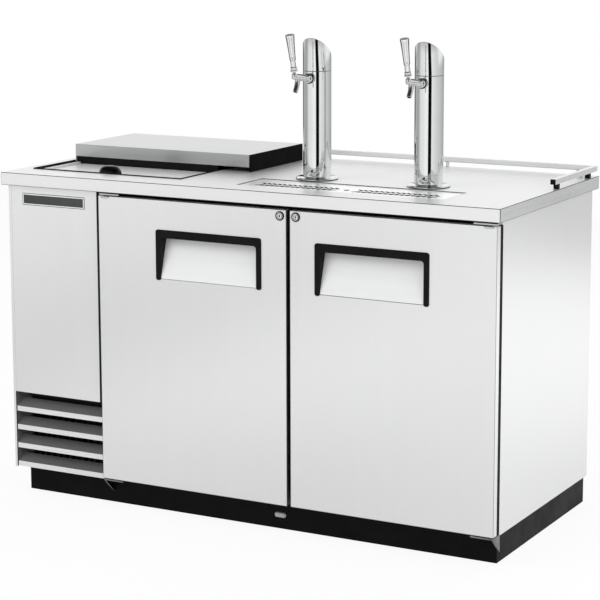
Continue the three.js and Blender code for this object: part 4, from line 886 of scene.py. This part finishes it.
def column_part(x):
    """Tube, base flange and set-screw groove: one profile turned about the column's axis, outside up
    and inside down."""
    radius, inner, wide = COLUMN_RADIUS, COLUMN_RADIUS - COLUMN_WALL, FLANGE_RADIUS
    top, foot, groove = FLANGE_THICKNESS + SEAT, SEAT + 1.6, GROOVE_RISE
    profile = [(inner, foot), (wide - 0.4, foot), (wide, foot + 0.4), (wide, top - 2.6), (wide - 0.5, top - 1.6),
               (wide - 1.6, top - 0.5), (wide - 3.4, top), (radius + 2.6, top), (radius + 0.9, top + 0.5),
               (radius, top + 2.2), (radius, groove - 0.7), (radius - 0.5, groove - 0.3),
               (radius - 0.5, groove + 0.3), (radius, groove + 0.7), (radius, SEAM - 0.7), (radius - 0.6, SEAM),
               (inner, SEAM), (inner, foot)]
    return turned(profile, (x, COLUMN_Y, TOP), sides=96)


def cap_part(x):
    """Slanted cap: at angle a the rim stands at peak - (y + radius) tan(slant), where y is the point's
    place behind the axis; the wall rises to a rounded rim and the roof runs in to the middle."""
    radius, low, edge = COLUMN_RADIUS, SEAM + SEAT, 1.6
    angle = np.linspace(0, 2 * np.pi, 96, endpoint=False)

    def ring(r, drop, flat=None):
        """Points at radius r, a drop below the slanted top, or all at one flat height."""
        y = r * np.sin(angle)
        z = PEAK - (y + radius) * math.tan(CAP_SLANT) - drop if flat is None else np.full(96, float(flat))
        return np.stack([x + r * np.cos(angle), COLUMN_Y + y, TOP + z], -1)

    rows = [ring(radius - COLUMN_WALL, 0, low), ring(radius - 0.6, 0, low), ring(radius, 0, low + 0.7)]
    rows += [ring(radius - share * edge, drop)
             for share, drop in ((0, 2.4), (0.16, 1.5), (0.5, 0.7), (1.2, 0.2), (2.0, 0.0))]
    rows += [ring(radius * 0.5, 0.0), ring(0.0, 0.0)]
    return np.vstack(rows), sheet_faces(len(rows), 96, wrap_columns=True)


def tap_point(x, forward, height):
    """Point in front of a column's axis, at a height above the worktop."""
    return (x, COLUMN_Y - forward, TOP + height)


def shank_part(x):
    """Round collar with two rings and a flat washer, turned about the shank's axis, with the thread and
    the nut inside the column."""
    profile = [(0, 45.3), (12.6, 45.3), (13.2, 44.9), (13.5, 44.2), (13.5, 42.8), (12.6, 42.2), (12.6, 41.4),
               (13.5, 40.8), (13.5, 37.4), (9.5, 36.8), (9.5, 34.6), (15.0, 34.4), (15.0, 26.0), (9.5, 25.8),
               (9.5, 13.2), (0, 13.0)]
    return turned(profile, tap_point(x, 0, SHANK_HEIGHT), (0, -1, 0), 48)


def seat_collar_part(x):
    """Collar's foot against the tube: at angle a its length runs from the ring to the round wall,
    sqrt(radius^2 - (r cos a)^2) in front of the axis."""
    angle = np.linspace(0, 2 * np.pi, 48, endpoint=False)
    rows = []
    for r, forward in ((13.5, 45.0), (13.5, None), (9.6, None), (9.6, 45.0)):
        across, rise = r * np.cos(angle), r * np.sin(angle)
        reach = np.full(48, forward) if forward else np.sqrt((COLUMN_RADIUS + SEAT) ** 2 - across ** 2)
        rows.append(np.stack([x + across, COLUMN_Y - reach, TOP + SHANK_HEIGHT + rise], -1))
    return np.vstack(rows), sheet_faces(4, 48, wrap_columns=True, wrap_rows=True)


def faucet_part(x):
    """Barrel with its coupling ring turned about the tilted axis, a bonnet turned about the lever's
    foot, and a spout swept along a curve with an open mouth."""
    axis = np.array([0, -math.cos(FAUCET_TILT), math.sin(FAUCET_TILT)])
    start = np.array(tap_point(x, 45.3, SHANK_HEIGHT))
    profile = [(0, 2.2), (11.6, 2.2), (12.4, 2.8), (12.5, 5.2), (11.9, 5.8), (11.9, 6.6), (12.5, 7.2),
               (12.5, 11.6), (11.9, 12.8), (10.2, 13.6), (9.4, 15.2), (9.0, 20), (8.9, 28), (9.1, 38), (9.1, 46),
               (8.9, 54), (8.6, 64), (8.3, 74), (8.0, 80), (7.2, 84), (5.6, 86.6), (3.4, 87.8), (0, 88)]
    barrel = turned(profile, start, axis, 40)
    profile = [(0, -15.5), (4.6, -15), (6.6, -13), (7.0, -11), (7.0, -6.5), (6.4, -6.2), (6.4, -5.6), (7.0, -5.2),
               (7.0, -1.2), (6.5, -0.4), (5.5, 0.0), (5.3, -0.2), (5.2, -2.5), (0, -4.0)]
    bonnet = turned(profile, tap_point(x, LEVER_FORWARD, LEVER_HEIGHT), sides=32)
    return combined(barrel, bonnet, spout_part(x))


def spout_part(x):
    """Spout: a curve through four points, swept with a radius that narrows slightly, whose mouth turns
    inwards as a thin lip and runs back up the bore."""
    knots = np.array([(108, 282.5), (110, 269.5), (114, 258.5), (123, 244.5)], float)
    t = np.linspace(0, 3, 22)
    forward = np.interp(t, np.arange(4), knots[:, 0])
    height = np.interp(t, np.arange(4), knots[:, 1])
    soften = np.ones(5) / 5
    forward[2:-2], height[2:-2] = np.convolve(forward, soften, "valid"), np.convolve(height, soften, "valid")
    outside = np.stack([forward, height], -1)
    along = unit(outside[-1] - outside[-2])
    back = outside[-1] - along[None, :] * np.array([0.0, 0.0, 2.0, 12.0])[:, None]
    line = np.vstack([outside, back])
    radius = np.concatenate([np.linspace(7.6, 6.7, 21), [6.5], [6.0, 4.9, 4.7, 4.7]])
    path = np.stack([np.full(len(line), x), COLUMN_Y - line[:, 0], TOP + line[:, 1]], -1)
    tangent = np.gradient(outside, axis=0)
    tangent = unit(np.vstack([tangent, np.repeat(along[None, :], 4, axis=0)]))
    angle = np.linspace(0, 2 * np.pi, 28, endpoint=False)
    normal = np.stack([np.zeros(len(line)), tangent[:, 1], tangent[:, 0]], -1)
    ring = np.cos(angle)[None, :, None] * np.array([1.0, 0, 0]) + np.sin(angle)[None, :, None] * normal[:, None, :]
    points = (path[:, None, :] + radius[:, None, None] * ring).reshape(-1, 3)
    faces = sheet_faces(len(line), 28, wrap_columns=True)
    faces.append([(len(line) - 1) * 28 + k for k in range(28)])
    faces.append(list(range(28))[::-1])
    return points, faces


def lever_part(x):
    """Ball, stem, ringed collar and stud: one profile turned about the lever's tilted axis."""
    t = np.radians(np.linspace(-90, 50, 8))
    ball = [(5 * math.cos(a), 5 * math.sin(a)) for a in t]
    profile = ball + [(3.2, 4.8), (3.2, 6.3), (6.5, 6.5), (9.4, 6.7), (10.0, 7.4), (10.0, 9.7), (9.4, 10.4),
                      (7.0, 10.6), (7.0, 12.4), (8.1, 12.6), (8.5, 13.1), (8.5, 17.6), (7.9, 18.4), (4.0, 18.5),
                      (4.0, 44.0), (3.4, 44.5), (0, 44.5)]
    return turned(profile, tap_point(x, LEVER_FORWARD, LEVER_HEIGHT), LEVER_AXIS, 40)


def tap_handle_part(x):
    """Tapered handle: a short ferrule, a fine shoulder and a long flare to a rounded top, with the
    stud's bore inside."""
    low, waist, top = 18.8, 36.8, 105.8
    profile = [(0, 44.8), (4.3, 44.8), (4.3, low), (6.4, low), (7.0, low + 0.6), (6.6, waist - 1.2),
               (6.6, waist - 0.4), (7.6, waist), (8.2, waist + 0.9), (8.6, waist + 12), (9.3, waist + 30),
               (10.4, waist + 48), (11.5, top - 8), (12.0, top - 3.4), (11.9, top - 1.8), (11.2, top - 0.5),
               (9.6, top), (4.0, top - 0.4), (0, top - 0.5)]
    return turned(profile, tap_point(x, LEVER_FORWARD, LEVER_HEIGHT), LEVER_AXIS, 48)


def beer_tube_part(x):
    """Tube from the shank round a bend and straight down, with a nut at its end."""
    t, bend, high = np.linspace(0, np.pi / 2, 10), 12.7, TOP + SHANK_HEIGHT
    path = np.stack([np.full(10, x), COLUMN_Y - bend + bend * np.sin(t), high - bend * (1 - np.cos(t))], -1)
    path = np.vstack([path, [(x, COLUMN_Y, high - 40), (x, COLUMN_Y, TOP - 150)]])
    nut = turned([(0, 0), (11.4, 0), (12.0, 0.8), (12.0, 17.2), (11.4, 18), (0, 18)], (x, COLUMN_Y, TOP - 168),
                 sides=6)
    return combined(tube(path, 5.0, (1, 0, 0), 20), nut)


def set_screw_part(x):
    """Dark set screw with a raised rim, turned about an axis that leaves the column a little to the right
    of its front."""
    axis = np.array([math.sin(SCREW_TURN), -math.cos(SCREW_TURN), 0])
    profile = [(0, 0.6), (1.3, 0.6), (1.6, 0.8), (2.8, 0.8), (3.2, 0.5), (3.2, -1.0), (0, -1.0)]
    centre = np.array([x, COLUMN_Y, TOP + SCREW_RISE]) + axis * (COLUMN_RADIUS - 0.5)
    return turned(profile, centre, axis, 24, (0, 0, 1))


def add_columns():
    radius, wide = COLUMN_RADIUS, FLANGE_RADIUS
    for side, x in COLUMNS.items():
        tap, foot = f"{side}_tap", (x, COLUMN_Y, TOP)
        # A black gasket under the flange, which also stands in for the contact shadow under it.
        gasket = hoop([(radius, 0.1), (wide - 0.5, 0.1), (wide - 0.1, 0.5), (wide - 0.1, 1.4),
                       (wide - 0.5, SEAT + 1.5), (radius, SEAT + 1.5)], foot, sides=72)
        # A black washer between collar and faucet, which also stands in for the shade in the joint.
        washer = hoop([(9.6, 45.4), (13.7, 45.4), (13.9, 45.8), (13.9, 46.9), (13.7, 47.25), (9.6, 47.25)],
                      tap_point(x, 0, SHANK_HEIGHT), (0, -1, 0), 40)
        seam = hoop([(36.9, SEAM - 0.5), (37.95, SEAM - 0.5), (37.95, SEAM + 0.9), (36.9, SEAM + 0.9)], foot,
                    sides=96)
        for name, part, finish, slot, node, angle, body in (
            ("column_tube", column_part(x), MIRROR_STEEL, "polished_steel", "column", 24, "cabinet"),
            ("slant_cap", cap_part(x), MIRROR_STEEL, "polished_steel", "column_cap", 24, "cabinet"),
            ("shank_collar", combined(shank_part(x), seat_collar_part(x)), TAP_CHROME, "polished_steel", "shank",
             28, "cabinet"),
            ("faucet_body", faucet_part(x), TAP_CHROME, "polished_steel", "faucet", 34, "cabinet"),
            ("beer_line_tube", beer_tube_part(x), TAP_CHROME, "polished_steel", "beer_tube", 40, "cabinet"),
            ("lever_stem", lever_part(x), TAP_CHROME, "polished_steel", "tap_lever", 30, tap),
            ("tap_grip", tap_handle_part(x), CLEAR_PLASTIC, "clear_plastic", "tap_handle", 34, tap),
            ("flange_gasket_and_shadow", gasket, BLACK_RUBBER_AND_SHADE, "black_rubber", None, 32, "cabinet"),
            ("tap_washer_and_shadow", washer, BLACK_RUBBER_AND_SHADE, "black_rubber", None, 32, "cabinet"),
            ("cap_seam", seam, BLACK_RUBBER_AND_SHADE, "black_rubber", None, 32, "cabinet"),
            ("column_set_screw", set_screw_part(x), BLACK_MOULDING_AND_SHADE, "black_trim", None, 32, "cabinet"),
        ):
            add_piece(f"{side}_{name}", part, finish, node and f"{node}_{side}", angle, body)


# Small trim

def knob_part():
    """Oval grip: radius 35 cos(t)^0.6 in plan, squashed to 23 deep, rising 27 sin(t), with a flat foot."""
    t = np.linspace(0, np.pi / 2, 16)
    dome = [(35 * max(math.cos(a), 0) ** 0.6, 27 * math.sin(a)) for a in t[:-1]]
    points, faces = turned([(0, 0), (34.4, 0), *dome, (0, 27)], (0, 0, 0), sides=64)
    points[:, 1] *= 46 / 70
    return points + np.array(KNOB_FOOT), faces


def add_rail_trim():
    half, front, left = SLEEVE_HALF, -SIDE_RAIL_FRONT, REAR_RAIL_LEFT
    levels = soft_levels(TOP + 0.35, TOP + 13.8, 1.0)
    sleeves = [pad((x - half, x + half), (y - half, y + half), levels, "top", 1.6) for x, y in RAIL_POSTS]
    add_piece("rail_foot_sleeves", combined(*sleeves), BLACK_MOULDING_AND_SHADE)
    front_cap = pad(SIDE_RAIL_X, RAIL_Z, soft_levels(front + 0.1, front + 3.0, 1.0), "front", 1.8)
    rear_cap = pad(REAR_RAIL_Y, RAIL_Z, soft_levels(left, left + 2.9, 1.0), "side", 1.8)
    add_piece("rail_end_caps", combined(front_cap, rear_cap), BLACK_MOULDING_AND_SHADE)


def lip_part():
    """Black lip round the front of the lid's opening: a bar along the front and two running back to the
    hood, each a rectangle with rounded rims."""
    (left, right), (front, back) = LID_OPENING
    wide = 2.4
    spans = [((left - wide, right + wide), (front - wide, front)), ((left - wide, left), (front + 0.05, back)),
             ((right, right + wide), (front + 0.05, back))]
    levels = soft_levels(TOP + 0.05, TOP + 2.9, 0.7, both=False)
    return combined(*[pad(u, v, levels, "top", 0.4, 2) for u, v in spans])


def runner_part():
    """Two steel runners beside the lid: rectangles with rounded upper rims, standing on the well's rim."""
    levels = soft_levels(906.1, 911.2, 0.6, both=False)
    return combined(*[pad(u, RUNNERS_Y, levels, "top", 0.4, 2) for u in RUNNERS_X])


def slot_shade_rims_part():
    """Painted shade of the drip plate's slots: dark rims that stand for the shade inside them. A slot's outline at
    radius r is two half circles, reach + r e^ia and its mirror image, turned by the lean; the rim is the strip
    between two outlines."""
    half = np.exp(1j * np.linspace(-np.pi / 2, np.pi / 2, 6))
    rows = [(2.7, 911.0), (4.1, 911.0), (4.0, PAN_RIM), (2.7, PAN_RIM)]
    outline = np.stack([np.concatenate([SLOT_REACH + r * half, -SLOT_REACH - r * half]) for r, z in rows])
    height = np.repeat([[z] for r, z in rows], 12, axis=1)
    parts = []
    for middle in SLOT_GRIDS:
        for y, lean in SLOT_ROWS:
            for x in middle + (np.arange(SLOT_COUNT) - SLOT_COUNT // 2) * SLOT_GRID_WIDTH / SLOT_COUNT:
                spots = outline * np.exp(1j * math.radians(lean)) + complex(x, y)
                points = np.stack([spots.real, spots.imag, height], -1).reshape(-1, 3)
                parts.append((points, sheet_faces(4, 12, wrap_columns=True, wrap_rows=True)))
    return combined(*parts)


def nameplate_layer(margin, low, high, edge, radius):
    """Layer of the bare nameplate: its rectangle made larger by a margin, between two heights in front
    of the panel; an edge of 0 leaves the rims sharp."""
    (left, right), (bottom, top) = NAMEPLATE
    low, high = PANEL_FACE + low, PANEL_FACE + high
    levels = soft_levels(low, high, edge, both=False) if edge else [(0, low), (0, high)]
    return pad((left - margin, right + margin), (bottom - margin, top + margin), levels, "front", radius)


def add_front_trim():
    add_piece("drip_slot_shade_rims", slot_shade_rims_part(), SHADE_AND_REFLECTION_BLACK, body=BODY_OF["drip_plate"])
    clip = pad((89.0, 124.0), (31.0, 47.0), soft_levels(292.0, 298.5, 5.4, both=False, steps=6), "front", 7.0, 6)
    # Painted shade: black strips on the front panel for the dark gaps beside the grille and beside the left door.
    shade_gaps = [pad(u, v, [(0, PANEL_FACE + 0.1), (0, PANEL_FACE + 0.8)], "front", 0.1, 1) for u, v in PANEL_SHADE_GAPS]
    corner = rounded([(745.6, -344.3), (747.8, -344.3), (747.8, -342.1)], 0.3, 2)
    # Painted shade: a black strip along the walls of the tray's opening, for the dark gap round the drip plate.
    liner = framed([(0.08, 905.0), (0.08, 911.6), (0.6, 911.6), (0.6, 905.0)], *TRAY, "top")
    for name, part, finish, slot in (
        ("nameplate_shadow_line", nameplate_layer(1.4, 0.5, 0.9, 0, 1.8), SHADOW_LINE_STEEL, "polished_steel"),
        ("nameplate_border", nameplate_layer(0.0, 0.55, 1.6, 0.5, 1.5), RAIL_STEEL, "polished_steel"),
        ("nameplate_field", nameplate_layer(-2.8, 1.3, 1.85, 0.2, 1.0), DARK_PLATE, "black_paint"),
        ("plinth_clip", clip, ZINC, "galvanised_steel"),
        ("panel_shade_gap_strips", combined(*shade_gaps), BLACK_MOULDING_AND_SHADE, "black_trim"),
        ("worktop_corner_seam", plate(corner, [(0, 879.6), (0, 912.4)], "top"), PAINTED_EDGE_STEEL, "brushed_worktop"),
        ("lid_opening_bead", lip_part(), BLACK_RUBBER_AND_SHADE, "black_rubber"),
        ("lid_runners", runner_part(), LID_STEEL, "brushed_panels"),
        ("tray_edge_shade_strip", liner, BLACK_RUBBER_AND_SHADE, "black_rubber"),
    ):
        add_piece(name, part, finish)


def add_rear_trim():
    """Screw heads along the rear panels' edges, a bare plate and the inlet's gland."""
    y, edges = REAR_FACE, ((-722.0, -437.0), (-418.0, 722.0))
    spots = [(x, y, z) for pair in edges for z in np.linspace(120, 840, 6) for x in pair]
    spots += [(x, y, z) for x in np.linspace(-300, 640, 7) for z in (84.0, 866.0)]
    add_piece("rear_panel_screws", domes(spots, 4.0, 1.9, (0, 1, 0)), HINGE_STEEL)
    bare = pad((-80, 60), (700, 790), [(0.3, -y - 0.05), (0.3, -y - 0.8), (0, -y - 1.1)], "front", 3)
    add_piece("rear_bare_plate", bare, RAIL_STEEL)
    gland = turned([(0, -17), (11, -17), (11, 0), (18.4, 0.3), (19, 0.9), (19, 3.6), (18.2, 4.6), (14, 5.0),
                    (12.6, 5.0), (12.0, 4.2), (8.6, 4.0), (8.0, 2.0), (0, 2.0)], INLET, (0, 1, 0), 40)
    add_piece("inlet_gland", gland, BLACK_MOULDING_AND_SHADE, "power_inlet")


def compressor_part():
    """Shell turned from a straight wall with a belt and a quarter-round dome, on a square base with four
    waisted feet."""
    x, y = COMPRESSOR
    low, peak = 90.1, 275.1
    t = np.linspace(0, np.pi / 2, 9)
    dome = [(88 * math.cos(a), peak - 40 * (1 - math.sin(a))) for a in t[:-1]]
    wall = [(0, low), (84, low), (88, 94), (88, 170), (89.2, 171), (89.2, 176), (88, 177)]
    shell = turned(wall + dome + [(0, peak)], (x, y, 0.0), sides=64)
    base = pad((x - 105, x + 105), (y - 105, y + 105), soft_levels(low, low + 4.0, 1.0), "top", 12, 5)
    foot = [(0, 76.1), (12.6, 76.1), (14, 77.4), (14, 80), (11, 81.4), (11, 84), (14, 85.2), (14, 88.6),
            (12.6, low), (0, low)]
    feet = [turned(foot, (x + across, y + back, 0.0), sides=28) for across in (-91, 91) for back in (-91, 91)]
    return combined(shell, base, *feet)


def guard_part():
    """Wire guard of the evaporator's fan: four rings and four spokes, each a round bar along the points
    centre + radius (cos a, sin a) in the plane across the fan's axis."""
    x, y, z = EVAPORATOR_FAN

    def wire(radius, angle, closed=False):
        """Round bar 2.2 thick through points given by radius and angle."""
        across = radius * np.exp(1j * angle)
        path = np.stack([np.full(len(across), x), y + across.real, z + across.imag], -1)
        return tube(path, 1.1, (1, 0, 0), 8, closed)

    turn = np.linspace(0, 2 * np.pi, 48, endpoint=False)
    rings = [wire(radius, turn, closed=True) for radius in (26, 42, 58, 73)]
    spokes = [wire(np.array([12, 76]), angle) for angle in np.radians([45, 135, 225, 315])]
    return combined(*rings, *spokes)


def add_machinery_trim():
    add_piece("compressor_shell", compressor_part(), BLACK_ENAMEL, "compressor")
    add_piece("evaporator_guard", guard_part(), HINGE_STEEL)
    dial = turned([(0, 0), (17.2, 0), (18, -0.8), (18, -5), (16.6, -6.4), (16.2, -14.8), (15.2, -16), (0, -16)],
                  THERMOSTAT, (0, 1, 0), 48)
    add_piece("thermostat_dial", dial, BLACK_GLOSS, "thermostat_knob", body="thermostat")
    x, y, z = THERMOSTAT
    mark = pad((x - 1, x + 1), (z + 4, z + 15), [(0, -y + 15.9), (0.2, -y + 16.3)], "front", 0.8, 3)
    add_piece("thermostat_pointer", mark, WHITE_LINER, body="thermostat")


# Stage, light and camera

# Levels of the floor as metal sees it: by metres from the middle, across (x) and backwards (y)
FLOOR_HALF = 5.2
FLOOR_HEIGHT = -0.0004
FLOOR_RANGE = 8.0
FLOOR_GLOW = [(0.0, 0.74), (1.0, 0.76), (1.7, 0.92), (2.5, 1.0), (8.0, 1.0)]
FLOOR_ACROSS = [(-8.0, 0.85), (-3.5, 0.86), (-2.9, 0.78), (-2.3, 0.58), (-1.7, 0.56), (-1.25, 0.78), (-0.9, 0.94),
                (-0.5, 0.97), (0.0, 0.92), (0.9, 1.0), (8.0, 1.0)]
FLOOR_BACK = [(-8.0, 1.0), (3.0, 1.0), (3.7, 0.88), (4.4, 0.52), (5.2, 0.40), (8.0, 0.4)]

# Grey levels of the studio as polished steel sees it: its walls and a white sheet behind the object, each
# by azimuth in degrees and by rise, which is the height of a direction of length 1
STUDIO_RING = [(-180, 0.42), (-160, 0.30), (-128, 0.12), (-118, 0.14), (-102, 0.52), (-70, 0.42), (-56, 0.60),
               (-46, 0.88), (-14, 0.96), (-5, 1.05), (17.5, 1.05), (19, 0.002), (42.5, 0.002), (44.5, 0.96),
               (60, 0.90), (78, 0.80), (102, 0.72), (126, 0.64), (150, 0.54), (170, 0.46), (180, 0.42)]
STUDIO_RISE = [(-1.0, 0.75), (-0.35, 0.95), (-0.1, 1.0), (0.15, 1.0), (0.35, 0.35), (0.5, 0.08), (0.85, 0.06),
               (1.0, 0.25)]
BACKDROP_RING = [(-180, 1.0), (-116, 1.0), (-96, 0.0), (96, 0.0), (116, 1.0), (180, 1.0)]
BACKDROP_RISE = [(-1.0, 0.0), (-0.02, 0.0), (0.05, 1.0), (0.62, 1.0), (0.85, 0.3), (1.0, 0.2)]
WHITE = (1.0, 1.0, 1.0)
DIFFUSE_GREY = (0.72, 0.72, 0.72)


def levels_by(tree, value, reach, stops, stops_reach):
    """Grey level by a value from -reach to reach, through stops (place, level) whose places go from
    -stops_reach to stops_reach."""
    places = [((at / stops_reach + 1) / 2, level) for at, level in stops]
    return ramp(tree, spread(tree, value, -reach, reach), places)


def studio_floor():
    """Pale floor: white for the camera, diffuse paper for soft light, and for mirrors a glow by the
    distance from the middle, times levels across and backwards."""
    mesh = bpy.data.meshes.new("studio_floor")
    half, z = FLOOR_HALF, FLOOR_HEIGHT
    mesh.from_pydata([(-half, -half, z), (half, -half, z), (half, half, z), (-half, half, z)], [], [(0, 1, 2, 3)])
    floor = new_object("studio_floor", mesh)
    material = bpy.data.materials.new("studio_floor_paper")
    material.use_nodes = True
    tree = material.node_tree
    tree.nodes.clear()
    rays = add_node(tree, "ShaderNodeLightPath").outputs
    spot = add_node(tree, "ShaderNodeTexCoord").outputs["Object"]
    distance = add_node(tree, "ShaderNodeVectorMath", {0: spot}, operation="LENGTH").outputs["Value"]
    sides = add_node(tree, "ShaderNodeSeparateXYZ", {0: spot}).outputs
    stops = [(at / FLOOR_RANGE, level) for at, level in FLOOR_GLOW]
    glow = ramp(tree, spread(tree, distance, 0.0, FLOOR_RANGE), stops)
    for label, stops in (("X", FLOOR_ACROSS), ("Y", FLOOR_BACK)):
        glow = multiplied(tree, glow, levels_by(tree, sides[label], FLOOR_RANGE, stops, FLOOR_RANGE))
    glow = blended(tree, rays["Is Camera Ray"], glow, WHITE)
    mirrored = sums(tree, "MAXIMUM", rays["Is Glossy Ray"], rays["Is Transmission Ray"])
    share = weighted(tree, (rays["Is Camera Ray"], 0.9), (mirrored, 0.85))
    paper = add_node(tree, "ShaderNodeBsdfDiffuse", {"Color": (0.9, 0.9, 0.9, 1.0)}).outputs[0]
    lit = add_node(tree, "ShaderNodeEmission", {"Color": glow, "Strength": 1.0}).outputs[0]
    mix = add_node(tree, "ShaderNodeMixShader", {0: share, 1: paper, 2: lit}).outputs[0]
    add_node(tree, "ShaderNodeOutputMaterial", {"Surface": mix})
    mesh.materials.append(material)


def studio_world():
    """White for the camera, a plain grey for diffuse light, and for mirror rays a ring of wall tones by
    azimuth times a rise by height."""
    world = bpy.data.worlds.new("studio")
    bpy.context.scene.world = world
    world.use_nodes = True
    tree = world.node_tree
    tree.nodes.clear()
    direction = add_node(tree, "ShaderNodeTexCoord").outputs["Generated"]
    parts = add_node(tree, "ShaderNodeSeparateXYZ", {0: direction}).outputs
    azimuth = sums(tree, "ARCTAN2", parts["X"], sums(tree, "MULTIPLY", parts["Y"], -1.0))

    def scenery(ring, rise):
        """Levels by azimuth times levels by rise."""
        around = levels_by(tree, azimuth, math.pi, ring, 180)
        return multiplied(tree, around, levels_by(tree, parts["Z"], 1.0, rise, 1.0))

    walls = blended(tree, scenery(BACKDROP_RING, BACKDROP_RISE), scenery(STUDIO_RING, STUDIO_RISE), WHITE)
    rays = add_node(tree, "ShaderNodeLightPath").outputs
    seen = sums(tree, "MAXIMUM", rays["Is Camera Ray"], rays["Is Transmission Ray"])
    colour = blended(tree, seen, blended(tree, rays["Is Glossy Ray"], DIFFUSE_GREY, walls), WHITE)
    light = add_node(tree, "ShaderNodeBackground", {"Color": colour}).outputs[0]
    add_node(tree, "ShaderNodeOutputWorld", {"Surface": light})


def add_lamp(name, spot, aim, size, power):
    """Soft rectangular lamp that mirrors don't show; places and size in metres, power in watts."""
    data = bpy.data.lights.new(name, "AREA")
    data.shape = "RECTANGLE"
    data.size, data.size_y = size
    data.energy = power
    lamp = new_object(name, data)
    lamp.location = spot
    lamp.rotation_euler = (Vector(aim) - Vector(spot)).to_track_quat("-Z", "Y").to_euler()
    lamp.visible_glossy = False


def studio_lamps():
    add_lamp("key_softbox", (-2.4, -3.2, 3.4), (0, 0, 0.5), (3.0, 2.2), 70)
    add_lamp("fill_softbox", (3.4, -1.2, 2.2), (0, 0, 0.5), (2.6, 2.2), 40)
    add_lamp("back_softbox", (0.5, 3.0, 3.0), (0, 0, 0.6), (3.0, 1.6), 30)


def set_camera():
    az, el = math.radians(VIEW_AZIMUTH), math.radians(VIEW_ELEVATION)
    back = Vector((math.sin(az) * math.cos(el), -math.cos(az) * math.cos(el), math.sin(el)))
    data = bpy.data.cameras.new("photo_camera")
    data.sensor_fit = "AUTO"
    data.sensor_width = SENSOR
    data.lens = VIEW_FOCUS / PICTURE_WIDTH * SENSOR
    data.shift_y = VIEW_SHIFT
    data.clip_end = 100.0
    camera = new_object("photo_camera", data)
    camera.location = Vector(VIEW_TARGET) * MM + back * VIEW_DISTANCE * MM
    turn = (-back).to_track_quat("-Z", "Y") @ Quaternion((0, 0, 1), math.radians(VIEW_ROLL))
    camera.rotation_euler = turn.to_euler()
    bpy.context.scene.camera = camera


bpy.context.scene.view_settings.view_transform = "Standard"
set_camera()
studio_world()
studio_lamps()
studio_floor()
dress_carcass()
dress_worktop()
dress_doors()
dress_machinery()
add_door_fittings()
add_columns()
add_piece("lid_grip", knob_part(), BLACK_GLOSS, "lid_knob", 40, "lid")
add_rail_trim()
add_front_trim()
add_rear_trim()
add_machinery_trim()
